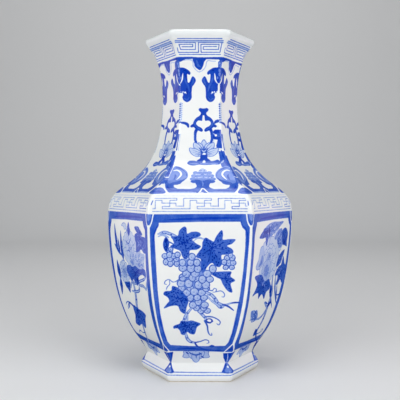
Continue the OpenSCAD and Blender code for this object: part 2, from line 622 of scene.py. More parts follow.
@dataclass
class Wall:
    """One painted wall of a storey: a closed slab with a fine outer skin and a plain inner one.

    Attributes:
        storey: the storey's name, as in its nodes.
        outline: the storey's outline.
        columns: divisions across the outer skin.
        step: distance between rows.
        inner_cols: divisions across the inner skin.
        inside: apothem and height along the inner skin, where it isn't the outline moved inwards.
    """

    storey: str
    outline: Outline
    columns: Columns
    step: float = 0.5
    inner_cols: Columns = Columns(8, 3)
    inside: np.ndarray | None = None

    def __post_init__(self) -> None:
        """Works out the rows of both skins."""
        line = self.outline.trace()
        length = measure(line)[-1]
        hair = 0.02
        count = round(length / self.step)
        self.rise = np.concatenate([[0], np.linspace(hair, length - hair, count), [length]])
        self.line = resample(line, self.rise)
        inner = self.outline.inner(WALL) if self.inside is None else self.inside
        share = self.rise / length
        self.inner_line = resample(inner, share * measure(inner)[-1])
        self.grid = side_grid(self.line, self.columns, arris_radius(self.line[:, 1]))

    def painting(self) -> Painting:
        """A bare painting on this wall's outer skin.

        Returns:
            The painting.
        """
        x = self.grid[3]
        s = np.broadcast_to(self.rise[:, None], x.shape)
        half = np.broadcast_to(self.line[:, :1] * SLOPE, x.shape)
        return Painting(x, s, half)

    def make(self, side: Side, paint: Painting, finish: bpy.types.Material) -> bpy.types.Object:
        """Builds one side's wall and keeps its painting on it.

        Args:
            side: which side.
            paint: the brushwork on the outer skin.
            finish: the glaze.
        Returns:
            The piece, riding on the body and standing for its node.
        """
        out, right, z, x = self.grid
        rows, cols = x.shape
        inner = side_grid(self.inner_line, self.inner_cols, np.full(rows, INNER_ARRIS))
        k = inner[0].shape[1]
        points = np.concatenate([placed(side, out, right, z), placed(side, *inner[:3])])
        base = rows * cols
        o = np.arange(base).reshape(rows, cols)
        n = base + np.arange(rows * k).reshape(rows, k)
        right_end = np.stack([o[1:, -1], o[:-1, -1], n[:-1, -1], n[1:, -1]], 1)
        left_end = np.stack([o[:-1, 0], o[1:, 0], n[1:, 0], n[:-1, 0]], 1)
        outer = grid_faces(rows, cols)
        hollow = grid_faces(rows, k, base)[:, ::-1]
        quads = np.concatenate([outer, hollow, right_end, left_end])
        smooth = np.arange(len(quads)) < len(outer) + len(hollow)
        rims = [
            np.concatenate([o[0, ::-1], n[0]]),
            np.concatenate([o[-1], n[-1, ::-1]]),
        ]
        name = f"{self.storey}_wall_{side.node}"
        piece = Shell(points, quads, smooth, rims).build(f"painted_{name}")
        bare = np.full(rows * k, CLIP)
        for tone in Tone:
            edge = np.clip(paint.tones[tone], -CLIP, CLIP)
            point_value(piece, tone.value, np.concatenate([edge.ravel(), bare]))
        outer_sheet, inner_sheet = (0.01, 0.8), (0.83, 0.15)  # each skin's place and width
        widest = np.abs(x).max()
        up = 0.01 + 0.98 * self.rise[:, None] / self.rise[-1]
        sheets = []
        for (left, wide), across in ((outer_sheet, x), (inner_sheet, inner[3])):
            u = left + wide * (across + widest) / (2 * widest)
            sheets.append(np.stack([u, np.broadcast_to(up, u.shape)], -1).reshape(-1, 2))
        lay_out(piece, np.concatenate(sheets))
        return dressed(piece, name, finish)


def dressed(piece: bpy.types.Object, node: str, finish: bpy.types.Material) -> bpy.types.Object:
    """Gives a piece its glaze and its place in the model.

    Args:
        piece: the piece.
        node: the node that it stands for.
        finish: its material.
    Returns:
        The same piece.
    """
    piece.data.materials.append(finish)
    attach(piece, "root")
    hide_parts(node)
    log.info("%s: %d faces", piece.name, len(piece.data.polygons))
    return piece


@dataclass(frozen=True)
class Rim:
    """The lip ring: a closed section carried round the six sides.

    Attributes:
        columns: divisions across each side.
        rows: points up the outline.
        roll: how far the inner edge leans out below the top, in millimetres.
        steps: points in the section's rounded inner edge.
    """

    columns: Columns = Columns(24, 8)
    rows: int = 28
    roll: float = 1.6
    steps: int = 7

    def section(self) -> np.ndarray:
        """The section: up the outline, over a rounded inner edge, down to the neck and back.

        The inner edge is a parabola (a quadratic Bezier curve) from the top to the inner wall.

        Returns:
            Rows of apothem and height, once round.
        """
        crown, stops = 0.25, 4  # how far the curve's handle stands over the top, and each straight's points
        outer = resample(LIP.trace(), np.linspace(0, measure(LIP.trace())[-1], self.rows))
        low = NECK.inner(WALL)[-1]
        top, heel = outer[-1], low + [0.55 * self.roll, 0.5 * LIP_H]
        t = np.linspace(0, 1, self.steps)[1:, None]
        corner = np.array([low[0] + self.roll, HEIGHT + crown])
        bend = (1 - t) ** 2 * top + 2 * t * (1 - t) * corner + t**2 * heel
        down = heel + np.linspace(0, 1, stops)[1:, None] * (low - heel)
        under = low + np.linspace(0, 1, stops)[1:-1, None] * (outer[0] - low)
        line = np.concatenate([outer, bend, down, under])
        line[:, 1] = np.minimum(line[:, 1], HEIGHT)
        return line

    def make(self, finish: bpy.types.Material) -> bpy.types.Object:
        """Builds the ring. Each side's last column is the next side's first.

        Args:
            finish: the glaze.
        Returns:
            The piece.
        """
        line = self.section()
        out, right, z, _ = side_grid(line, self.columns, arris_radius(line[:, 1]))
        rows, cols = out.shape
        sides = [placed(side, out, right, z).reshape(rows, cols, 3)[:, :-1] for side in Side]
        points = np.concatenate(sides, 1)
        v = np.arange(rows * points.shape[1]).reshape(rows, -1)
        right_v, up_v = np.roll(v, -1, 1), np.roll(v, -1, 0)
        quads = np.stack([v, right_v, np.roll(right_v, -1, 0), up_v], -1).reshape(-1, 4)
        piece = Shell(points.reshape(-1, 3), quads, np.ones(len(quads), bool)).build("glazed_lip_ring")
        return dressed(piece, "lip_ring", finish)


# ---------------------------------------------------------------- finishes


class Value:
    """A shader socket that adds Math nodes when it is used in an expression."""

    def __init__(self, tree: "Tree", socket: bpy.types.NodeSocket) -> None:
        """Wraps a socket of a tree."""
        self.tree, self.socket = tree, socket

    def _math(self, operation: str, a: "Value | float", b: "Value | float") -> "Value":
        """One Math node on two values or numbers."""
        return Value(self.tree, self.tree.node("ShaderNodeMath", {"operation": operation}, {0: a, 1: b})[0])

    def __add__(self, other: "Value | float") -> "Value":
        """Sum."""
        return self._math("ADD", self, other)

    __radd__ = __add__

    def __sub__(self, other: "Value | float") -> "Value":
        """Difference."""
        return self._math("SUBTRACT", self, other)

    def __rsub__(self, other: "Value | float") -> "Value":
        """Difference, the other way round."""
        return self._math("SUBTRACT", other, self)

    def __mul__(self, other: "Value | float") -> "Value":
        """Product."""
        return self._math("MULTIPLY", self, other)

    __rmul__ = __mul__

    def __truediv__(self, other: "Value | float") -> "Value":
        """Quotient."""
        return self._math("DIVIDE", self, other)

    def most(self, other: "Value | float") -> "Value":
        """The larger of the two."""
        return self._math("MAXIMUM", self, other)

    def least(self, other: "Value | float") -> "Value":
        """The smaller of the two."""
        return self._math("MINIMUM", self, other)

    def held(self) -> "Value":
        """Kept between 0 and 1."""
        return self.most(0.0).least(1.0)


@dataclass
class Tree:
    """A material's nodes, with one way to add any of them.

    Attributes:
        name: the material's name.
    """

    name: str

    def __post_init__(self) -> None:
        """Makes an empty material with its output."""
        self.material = bpy.data.materials.new(self.name)
        self.material.use_nodes = True
        self.nodes = self.material.node_tree.nodes
        self.links = self.material.node_tree.links
        self.nodes.clear()
        self.output = self.nodes.new("ShaderNodeOutputMaterial")

    def node(self, kind: str, settings: dict | None = None,
             inputs: dict | None = None) -> bpy.types.bpy_prop_collection:
        """Adds a node.

        Args:
            kind: the node's type.
            settings: its properties, or a ramp's stops under "stops".
            inputs: values or links by socket name or number.
        Returns:
            The node's outputs.
        """
        made = self.nodes.new(kind)
        for key, value in (settings or {}).items():
            if key == "stops":
                ramp = made.color_ramp
                while len(ramp.elements) < len(value):
                    ramp.elements.new(0.5)
                for stop, (place, colour) in zip(ramp.elements, value):
                    stop.position, stop.color = place, (*colour, 1.0)
            else:
                setattr(made, key, value)
        for key, value in (inputs or {}).items():
            socket = made.inputs[key]
            if isinstance(value, Value):
                self.links.new(value.socket, socket)
            elif isinstance(value, bpy.types.NodeSocket):
                self.links.new(value, socket)
            else:
                socket.default_value = value
        return made.outputs

    def place(self) -> bpy.types.NodeSocket:
        """Object coordinates, in metres."""
        return self.node("ShaderNodeTexCoord")["Object"]

    def noise(self, size: float, detail: float = 2.0, seed: float = 0.0) -> Value:
        """Soft noise about 0, from -1 to 1, with lumps about size millimetres across.

        Args:
            size: how far apart the lumps are, in millimetres.
            detail: how many finer layers are added.
            seed: a number of its own, so that no two are alike.
        Returns:
            The noise.
        """
        shift = (seed, seed * 0.7, seed * 1.3)
        moved = self.node("ShaderNodeVectorMath", {"operation": "ADD"}, {0: self.place(), 1: shift})[0]
        made = self.node("ShaderNodeTexNoise", {}, {"Vector": moved, "Scale": 1000.0 / size,
            "Detail": detail})
        return Value(self, made[0]) * 2.0 - 1.0

    def blend(self, share: Value, first: Triple | bpy.types.NodeSocket,
              second: Triple | bpy.types.NodeSocket) -> bpy.types.NodeSocket:
        """Mixes two colours.

        Args:
            share: how much of the second there is, from 0 to 1.
            first: a colour in linear light, or a link to one.
            second: the same.
        Returns:
            The mixed colour.
        """
        first, second = ((*each, 1.0) if isinstance(each, tuple) else each for each in (first, second))
        return self.node("ShaderNodeMix", {"data_type": "RGBA"}, {"Factor": share, 6: first, 7: second})[2]

    def bump(self, height: Value, strength: float, depth: float) -> bpy.types.NodeSocket:
        """The shading normal of a surface with a height, whose whole depth is given in metres."""
        return self.node("ShaderNodeBump", {}, {"Strength": strength, "Distance": depth,
            "Height": height})["Normal"]

    def ripples(self, broad: float, short: float) -> bpy.types.NodeSocket:
        """The normal of a fired glaze, which has two sizes of gentle wave, given in millimetres."""
        return self.bump(self.noise(broad, 1.0, 9.0) * 0.9 + self.noise(short, 2.0, 4.0) * 0.12, 0.35,
            0.0004)

    def gloss(self) -> Value:
        """The roughness of a fired glaze, which varies a little."""
        return self.noise(14.0, 2.0, 2.0) * 0.015 + 0.085

    def coated(self, colour: bpy.types.NodeSocket, rough: Value, normal: bpy.types.NodeSocket,
               coat: Value | float) -> bpy.types.Material:
        """Ends the tree with a surface under a clear coat.

        Args:
            colour: its colour.
            rough: its roughness.
            normal: its shading normal.
            coat: the clear coat's weight.
        Returns:
            The finished material.
        """
        values = {"Base Color": colour, "Roughness": rough, "Normal": normal, "Coat Weight": coat}
        values["Coat Roughness"] = 0.03
        return self.finish(self.node("ShaderNodeBsdfPrincipled", {}, values)["BSDF"])

    def kept(self, name: str) -> Value:
        """A number kept at the vertices."""
        return Value(self, self.node("ShaderNodeAttribute", {"attribute_name": name})["Fac"])

    def finish(self, shader: bpy.types.NodeSocket) -> bpy.types.Material:
        """Joins the shader to the output."""
        self.links.new(shader, self.output.inputs["Surface"])
        return self.material


def srgb(red: int, green: int, blue: int) -> Triple:
    """A display colour as the linear light that a shader takes.

    Args:
        red: from 0 to 255.
        green: the same.
        blue: the same.
    Returns:
        Red, green and blue.
    """
    return tuple(
        c / 12.92 if c <= 0.04045 else ((c + 0.055) / 1.055) ** 2.4
        for c in (red / 255, green / 255, blue / 255)
    )


# The cobalt's colour under the glaze, against how dense it is.
COBALT = [
    (0.0, srgb(240, 241, 240)),
    (0.12, srgb(210, 221, 240)),
    (0.30, srgb(160, 181, 229)),
    (0.48, srgb(102, 134, 215)),
    (0.66, srgb(42, 88, 192)),
    (0.84, srgb(8, 58, 180)),
    (1.0, srgb(0, 34, 138)),
]


@dataclass(frozen=True)
class PaintedGlaze:
    """Cobalt brushwork under a clear, faintly uneven glaze on white porcelain.

    Attributes:
        name: the material's name.
        biscuit: height below which the clay is left bare, in millimetres, or 0 where it is glazed all over.
        strengths: how dark each tone is, from 0 for bare porcelain to 1 for the thickest cobalt.
        soft: half the width of a painted edge's blur, in millimetres.
        wobble: how far the hand strays from the drawn edge, in millimetres.
        pool: how far in from a painted edge the cobalt pools, in millimetres.
        coat: the weight of the clear glaze over it.
        bare_rough: how much rougher the bare clay is.
    """

    name: str = "painted_glaze"
    biscuit: float = 0.0
    strengths: tuple[float, ...] = (0.19, 0.285, 0.49, 0.67, 0.83, 0.97)
    soft: float = 0.32
    wobble: float = 0.22
    pool: float = 0.9
    coat: float = 0.12
    bare_rough: float = 0.6

    def make(self) -> bpy.types.Material:
        """Builds the material.

        Returns:
            The material, reading the tone attributes.
        """
        t = Tree(self.name)
        stray = t.noise(2.6, 2.0, 3.1) * self.wobble + t.noise(0.9, 1.0, 7.7) * (0.5 * self.wobble)
        cloud = t.noise(11.0, 3.0, 1.7)
        fleck = t.noise(1.6, 2.0, 5.3)
        density = None
        for tone, strength in zip(Tone, self.strengths):
            edge = t.kept(tone.value) + stray
            cover = (0.5 - edge / (2 * self.soft)).held()
            pooled = (1.0 + edge / self.pool).held()
            body = strength * (0.95 + cloud * 0.2 + fleck * 0.09 + pooled * 0.06)
            laid = cover * body
            density = laid if density is None else density.most(laid)
        colour = t.node("ShaderNodeValToRGB", {"stops": COBALT}, {"Fac": density.held()})["Color"]
        rough, coat = t.gloss(), self.coat
        if self.biscuit:
            height = Value(t, t.node("ShaderNodeSeparateXYZ", {}, {0: t.place()})["Z"]) / MM
            raw = ((self.biscuit - height + t.noise(6.0, 3.0, 8.0) * 0.5) / 0.5).held()
            clay = t.blend((fleck * 0.5 + 0.5).held(), srgb(222, 212, 196), srgb(198, 184, 164))
            colour = t.blend(raw, colour, clay)
            rough = rough + raw * self.bare_rough
            coat = self.coat - raw * self.coat
        return t.coated(colour, rough, t.ripples(22.0, 5.0), coat)


@dataclass(frozen=True)
class ClearGlaze:
    """Clear glaze on bare white porcelain, with a faint warmth where it is thin.

    Attributes:
        name: the material's name.
        white: the porcelain's colour.
        pooled: its colour where the glaze is thicker.
        coat: the weight of the clear glaze.
    """

    name: str = "clear_glaze"
    white: Triple = srgb(240, 241, 240)
    pooled: Triple = srgb(226, 233, 236)
    coat: float = 0.35

    def make(self) -> bpy.types.Material:
        """Builds the material.

        Returns:
            The material.
        """
        t = Tree(self.name)
        share = (t.noise(18.0, 3.0, 2.2) * 0.5 + 0.4).held()
        colour = t.blend(share, self.white, self.pooled)
        return t.coated(colour, t.gloss(), t.ripples(20.0, 4.0), self.coat)


@dataclass(frozen=True)
class GlazedSlip:
    """Slip smeared by hand along the inside seams and glazed over: creamier, with finger ripples.

    Attributes:
        name: the material's name.
        pale: the slip's colour.
        warm: its colour in the hollows.
        coat: the weight of the clear glaze.
    """

    name: str = "glazed_slip"
    pale: Triple = srgb(232, 230, 222)
    warm: Triple = srgb(206, 200, 186)
    coat: float = 0.2

    def make(self) -> bpy.types.Material:
        """Builds the material.

        Returns:
            The material.
        """
        t = Tree(self.name)
        share = (t.noise(5.0, 4.0, 6.2) * 0.6 + 0.35).held()
        colour = t.blend(share, self.pale, self.warm)
        smear = t.noise(7.0, 3.0, 1.1) + t.noise(1.6, 2.0, 5.0) * 0.3
        rough = t.noise(8.0, 2.0, 2.0) * 0.05 + 0.24
        return t.coated(colour, rough, t.bump(smear, 0.6, 0.0008), self.coat)


# ---------------------------------------------------------------- painted motifs


@dataclass(frozen=True)
class NeckPattern:
    """The bands and scrolls painted down a neck wall, the same on every side.

    Attributes:
        scroll_x: middle of the pair of scrolls.
        lantern_x: middle of the lantern, and of the lotus that holds it.
        cloud_x: middle of the cloud at the foot of the neck.
        fine: width of the ruled lines.
        crossed: whether the next side's scroll runs on over the right arris.
    """

    scroll_x: float = -1.3
    lantern_x: float = 3.7
    cloud_x: float = 2.5
    fine: float = 0.85
    crossed: bool = False

    def paint(self, wall: Painting) -> None:
        """Paints the whole side, from the lip down.

        Args:
            wall: the wall's painting.
        """
        b = Brush(wall)
        if self.crossed:
            self.scroll(Brush(wall.neighbour(1), x=self.scroll_x), 24.0)
        self.rim(b)
        self.collar(b)
        for flip, reach in ((1, 24.0), (-1, 19.9)):
            self.scroll(b.at(self.scroll_x, 0, flip=flip), reach)
        self.beads(wall)
        self.lantern(b)
        self.floret(b)
        self.lotus(b.at(self.lantern_x + 0.3, 0))
        self.ribbons(b)
        for flip, x in ((1, 0.0), (-1, 3.4)):
            self.foot_scroll(b.at(x, 0, flip=flip))
        self.cloud(b.at(self.cloud_x, 0))

    def rim(self, b: Brush) -> None:
        """A key fret between ruled lines, under the lip.

        Args:
            b: the brush.
        """
        b.patch(PALE, [(-26, 172.2), (24, 172.2), (24, 173.9), (-26, 173.9)], smooth=False)
        for s, left, right in ((176.4, -23, 22.5), (174.2, -25.5, 24), (172, -25.5, -4.6), (172, -1.7, 24)):
            b.rule(MID, [(left, s), (right, s)], self.fine)
        b.rule(MID, [(-21.5, 159.5), (21.3, 159.5)], self.fine)
        hooks = (
            [(-23.5, 166.5), (-22.4, 161.6), (-1.5, 161.6), (-1.6, 172)],
            [(-4.7, 172), (-4.7, 164.6), (-19.8, 164.6), (-21.6, 170), (-7.4, 170), (-7.4, 167.4),
             (-18.6, 167.4)],
            [(22.6, 172), (20.6, 161.7), (1.2, 161.7), (0.9, 170), (19.6, 170), (19, 164.6), (3.3, 164.6)],
            [(3.3, 164.6), (3.3, 167.6), (17, 167.6)],
        )
        for hook in hooks:
            b.rule(MID, hook, self.fine)

    def collar(self, b: Brush) -> None:
        """The dark band round the top of the neck, with its hanging lappet and pale edging.

        Args:
            b: the brush.
        """
        edging = [(-17, 153.6), (-12.5, 154.2), (-8.6, 153.6), (-7.2, 150.5), (-7, 147.6), (-4.2, 144),
            (-0.6, 141.8)]
        edging += [(3.6, 144.2), (6, 147.8), (6.8, 151.8), (8.6, 153.4), (12, 152.8), (16, 152.6)]
        b.line(PALE, edging, 0.9)
        b.patch(DEEP, [(-26, 157), (-9.5, 157.2), (0, 156.6), (26, 157), (26, 151.5), (21.4, 152.4),
            (19.4, 154.4), (6, 155), (-7, 155), (-15, 154.8), (-20, 152.2), (-26, 151.5)], smooth=False)
        b.patch(DEEP, [(-7, 155.6), (-5.9, 150), (-5.4, 147.6), (-3, 145.2), (-0.4, 143.7), (2, 145.4),
            (3.5, 149), (4.2, 152), (6, 155.6)])
        b.line(MID, [(-3.4, 153, 1.4), (-2, 148.5, 1.8), (0.4, 147, 0.6)])

    def scroll(self, b: Brush, reach: float) -> None:
        """Half of the pair of scrolls: a capped stem, a curling body and a leaf-shaped arm.

        Args:
            b: the brush, placed at the middle of the pair.
            reach: how far out the body spreads.
        """
        # The paler cap at the top of the stem lies on the arris. It is partly the stem's own lighter
        # brushwork and partly a painted highlight where the rounded arris catches the light.
        b.patch(MID, [(-28, 153), (-20.8, 152.8), (-20.2, 149.4), (-20.8, 145.6), (-28, 145.6)])
        b.patch(DEEP, [(-26, 146), (-18.8, 146.2), (-17.6, 143), (-17.2, 139), (-17.8, 135), (-20, 131.4),
            (-26, 130)])
        b.patch(DEEP, [(-24, 145.2), (-19.6, 146.2), (-15.4, 146), (-11.7, 144.2), (-9.2, 142), (-8.7, 140),
            (-9.8, 138.9), (-12, 139.6), (-11.9, 134), (-10.9, 130.6), (-9.1, 132), (-8.1, 134.6),
            (-6.3, 137.3), (-3.9, 135.4), (-3.1, 132.8), (-4.6, 129.6), (-6.6, 126.8), (-7.3, 123),
            (-7.4, 118.6), (-7.4, 115.4), (-9, 112.4), (-12, 110.8), (-15.2, 112.2), (-17, 115.4),
            (-16.2, 118.4), (-17.4, 119.8), (1 - reach, 121.2), (-reach, 124), (-reach, 128), (-21.2, 131),
            (-24, 133)])
        b.line(None, [(-16.4, 140.4, 0.5), (-16.9, 137, 1.5), (-17.4, 133.6, 1.6), (-20, 129.6, 0.9),
            (-24, 127.5, 1.4)])
        # Soft dabs down the stem on the arris, partly a painted highlight of the rounded arris.
        for x, s, r in ((-22, 150.4, 0.7), (-22.6, 147.4, 0.8), (-21.6, 143.4, 1), (-21.8, 139.4, 1.1),
                (-19.6, 135.6, 0.8)):
            b.disc(SOFT, x, s, r, 1.6)
        for x, s, r in ((-14.2, 120.7, 1), (-16.3, 121.3, 0.7), (-17.4, 119.6, 0.9), (-18.9, 121.6, 0.5),
                (-12.9, 119.7, 0.6)):
            b.disc(None, x, s, r)
        b.line(MID, [(-14.6, 138, 0.4), (-14, 133, 1.2), (-11, 127.4, 1.5), (-9.6, 122, 0.5)])
        b.line(MID, [(-5.6, 135.4, 0.4), (-5.8, 132, 1.5), (-7.8, 128, 0.5)])
        b.line(MID, [(-10, 115.6, 0.4), (-12, 112.9, 1.4), (-15, 114.6, 0.5)])
        b.line(INK, [(-18, 143.6, 0.4), (-14.6, 143.4, 1.4), (-11.4, 141.6, 0.4)])
        b.line(INK, [(-13, 128, 0.4), (-12, 121, 1.5), (-12.6, 116, 0.6)])

    def beads(self, wall: Painting) -> None:
        """A string of beads down each arris.

        Args:
            wall: the wall's painting.
        """
        for way in (-1, 1):
            b = Brush(wall.from_arris(way), x=0.8)
            b.rule(PALE, [(0, 91.4), (0, 109.4)], 2.6)
            for n in range(8):
                b.disc(INK, -1.1, 92.4 + 2.3 * n, 1.0, 0.8)
                b.disc(None, 0.2, 93.5 + 2.3 * n, 0.5)
                b.disc(MID, 1.3, 93 + 2.3 * n, 0.55)

    def lantern(self, b: Brush) -> None:
        """A lantern-shaped knot with a forked finial, two inner curls and a crescent to each side.

        Args:
            b: the brush.
        """
        b.line(DEEP, [(-21.5, 90, 1.4), (-19, 89.2, 2), (-15.6, 88.6, 2.8), (-13, 87.2, 2.9),
            (-12.2, 85, 2.1)])
        b.line(DEEP, [(14.9, 88.4, 1.3), (16.6, 90.2, 3), (18.8, 91, 3.2)])
        b.line(DEEP, [(21.4, 89.4, 2.2), (23.5, 89.6, 2.4)])
        for flip in (1, -1):
            m = b.at(self.lantern_x, 0, flip=flip)
            m.patch(DEEP, [(0.4, 103.4), (-1.6, 104.2), (-3.6, 104.5), (-5.2, 103.2), (-4.4, 101.4),
                (-2.9, 99.8), (-3, 98), (-4.4, 96.2), (-7.6, 94.2), (-9.7, 91.4), (-10.8, 88), (-10.4, 84.6),
                (-7.4, 84.6), (-7.7, 88.4), (-6.8, 90.4), (-5, 91.5), (-3.2, 91.3), (-1.6, 91.3),
                (-1.3, 93.6), (-0.7, 96.8), (0.4, 97.6)])
            m.line(DEEP, [(-12.4, 85.4, 2.6), (-9.4, 86.4, 3.6), (-7, 84, 3.8), (-4, 82.4, 4),
                (-2.3, 81.2, 3.2)])
            m.line(DEEP, [(-6.6, 83, 3.4), (-8.2, 79.6, 3), (-8.7, 75.6, 2.7), (-8.6, 71, 2.5),
                (-7.3, 66.9, 2.2)])
            m.line(MID, [(-8.4, 90.6, 0.3), (-9.2, 88, 1.3), (-7.2, 84.6, 1.2), (-3.4, 82, 0.4)])
            m.line(MID, [(-8.9, 79, 0.3), (-8.9, 74.5, 1), (-8.3, 69.6, 0.3)])
            m.line(INK, [(-4.8, 95.2, 0.3), (-2.6, 97, 1), (-1.5, 100.4, 0.4)])

    def floret(self, b: Brush) -> None:
        """The square floret on each arris beside the lantern, and its stalk on the next side.

        Args:
            b: the brush.
        """
        b.patch(DEEP, [(13.6, 79.8), (15.4, 81.8), (22.6, 81.8), (22.8, 61.6), (17.2, 62.2), (16.8, 64.6),
            (18.3, 71), (14, 71.6), (13.2, 75)], smooth=False)
        b.patch(MID, [(17.4, 78), (21, 77.6), (21.3, 74.8), (18.4, 74.4)])
        b.disc(None, 16.4, 75.7, 1.3)
        b.rule(None, [(13.9, 77.6, 0.5), (16.4, 76, 1)])
        b.rule(PALE, [(14.3, 71, 0.7), (14.4, 66, 0.8), (14, 60.8, 0.8), (20.5, 60.6, 0.6)])
        b.patch(DEEP, [(-24.4, 77.4), (-21.2, 77), (-21.8, 73), (-22.8, 68), (-23.9, 59.4), (-27, 59)],
            smooth=False)
        b.rule(PALE, [(-20.2, 77), (-21.4, 68), (-22.4, 59)], 0.5)

    def lotus(self, b: Brush) -> None:
        """The lotus on its tied stand: pale petals with darker outlines, drawn from the back forward.

        Args:
            b: the brush.
        """
        tip = [(0, 71), (-2.9, 66.8), (-3.1, 62.4), (0, 60.6), (3.1, 62.4), (2.9, 66.8)]
        half_petals = (
            [(-5.6, 67.8), (-5.6, 63.6), (-3.6, 60.4), (-0.6, 59.6), (-0.4, 63.4), (-2.6, 66.2)],
            [(-10.2, 67.8), (-10.6, 63.4), (-8.6, 59.4), (-4.6, 56.6), (-2.2, 58.4), (-2.8, 62.8),
             (-5.6, 66.2)],
            [(-14.8, 61.8), (-13.8, 57), (-10.6, 53.6), (-6, 52.2), (-2.8, 54), (-3.4, 57.8), (-7, 60.6),
             (-11, 61.4)],
        )
        b.patch(FAINT, tip)
        b.line(MID, tip, 0.7, closed=True)
        for petal in half_petals:
            for flip in (1, -1):
                m = b.at(0, 0, flip=flip)
                m.patch(FAINT, petal)
                m.line(MID, petal, 0.7, closed=True)
        for flip in (1, -1):
            m = b.at(0, 0, flip=flip)
            for x0, s0, x1, s1 in ((-2.6, 59, -8.6, 65.6), (-3.4, 58, -9.4, 62.6), (-4, 56.6, -12, 60),
                    (-4.4, 55, -11.6, 57.4), (-5, 53.8, -10, 55), (-1.6, 61, -4.4, 65.8),
                    (-0.8, 62, -1.6, 68)):
                m.line(MID, [(x0, s0, 0.9), (0.5 * (x0 + x1), 0.5 * (s0 + s1), 0.6), (x1, s1, 0.25)])
            m.line(DEEP, [(-4.4, 62.4, 0.4), (-3.4, 60.2, 1.3), (-2.4, 57.4, 0.7)])
        b.patch(MID, [(-2.8, 60.6), (0, 61.4), (2.8, 60.6), (3.4, 57), (0, 54.4), (-3.4, 57)])
        b.line(PALE, [(-2.2, 59.8, 0.5), (0, 58, 1.3), (2.2, 59.8, 0.5)])
        b.patch(MID, [(-17, 44.6), (-14.6, 47.2), (-10, 47.3), (-7, 46.9), (-3.6, 49), (3.8, 49), (7, 47),
            (11.4, 47.6), (14.4, 48.6), (17, 45.4), (15.6, 42.8), (10, 42.6), (6, 42.2), (0, 42), (-5, 42.4),
            (-11, 41.3), (-15.4, 42.4)])
        b.patch(DEEP, [(-3, 56.6), (-1.6, 54.4), (1.6, 54.4), (3.4, 56), (3.9, 53), (3.7, 50.4), (6.6, 47.6),
            (3.4, 46.8), (0, 48.6), (-3.4, 46.6), (-7.4, 47.2), (-4, 50), (-3.8, 53)])
        b.disc(None, 0.4, 55.4, 1.5, 0.8)
        b.patch(None, [(-1.6, 45), (0.2, 48.2), (1.8, 45.2)])
        # Soft strokes across the stand: partly brushwork, and partly a painted reflection of the lamp
        # overhead on the shoulder slope.
        for x in (-10, 0.4, 9.6):
            b.line(SOFT, [(x - 4.4, 44.2, 0.4), (x, 43.8, 1.4), (x + 4.4, 44.2, 0.4)])

    def ribbons(self, b: Brush) -> None:
        """The broad ribbon over each arris, from beside the lotus down to the scrolls.

        Args:
            b: the brush.
        """
        b.patch(MID, [(19, 58.6), (28, 58.6), (34, 40), (42, 22), (43.5, 14.5), (39.4, 14.8), (34.6, 22),
            (31.6, 27), (29.6, 32), (27.4, 37.6), (22, 39.6), (21.4, 42), (20.6, 46), (20.1, 50)],
            smooth=False)
        b.patch(MID, [(-25, 53.4), (-32, 54), (-42, 30), (-46, 12.6), (-40, 13.2), (-38, 18), (-35, 26),
            (-31.4, 26.5), (-30.4, 31), (-28, 38), (-26.2, 46)], smooth=False)
        dabs = ((22.9, 57, 1.4), (24.2, 52.4, 2.1), (27.6, 43.2, 3.4), (25.8, 47.6, 1.4), (32.6, 29.6, 1.6),
                (36.4, 22.4, 2.6))
        dabs += ((-27.4, 49, 2.2), (-28.8, 41.4, 2), (-32, 30.4, 2.6), (-38.6, 17, 2), (-33.4, 36, 1.6))
        for x, s, wide in dabs:
            lean = math.copysign(1.3, x)
            b.line(DEEP, [(x - lean, s + 3, 0.4), (x - 0.3 * lean, s + 0.6, wide), (x + lean, s - 3.2, 0.5)])
        for x, s in ((23, 46), (29.4, 37.4), (31.6, 33.4)):
            b.line(PALE, [(x - 1.6, s - 1.6, 0.4), (x, s, 1.8), (x + 1.4, s + 2, 0.4)])
        b.line(None, [(30.8, 26.9), (38.6, 26.6)], 0.9)
        b.line(None, [(-31.2, 25.6), (-38, 25.8)], 0.9)

    def foot_scroll(self, b: Brush) -> None:
        """A C-shaped scroll at the foot of the neck: a pale curl on a darker body, and the band below. The
        curl's pale wash is partly its own and partly a painted reflection of the lamp overhead on the
        shoulder slope.

        Args:
            b: the brush.
        """
        b.patch(MID, [(-31, 25), (-36, 25), (-38.4, 16), (-34.6, 15.6), (-34.4, 9), (-33, 5), (-30.6, 2.2),
            (0, 2.2), (0, 8.4), (-5.2, 8.6), (-9.6, 7.7), (-15, 7.9), (-22, 8), (-25.6, 10.4), (-26.2, 14),
            (-22.4, 14.2), (-19.4, 16), (-17, 20.4)], smooth=False)
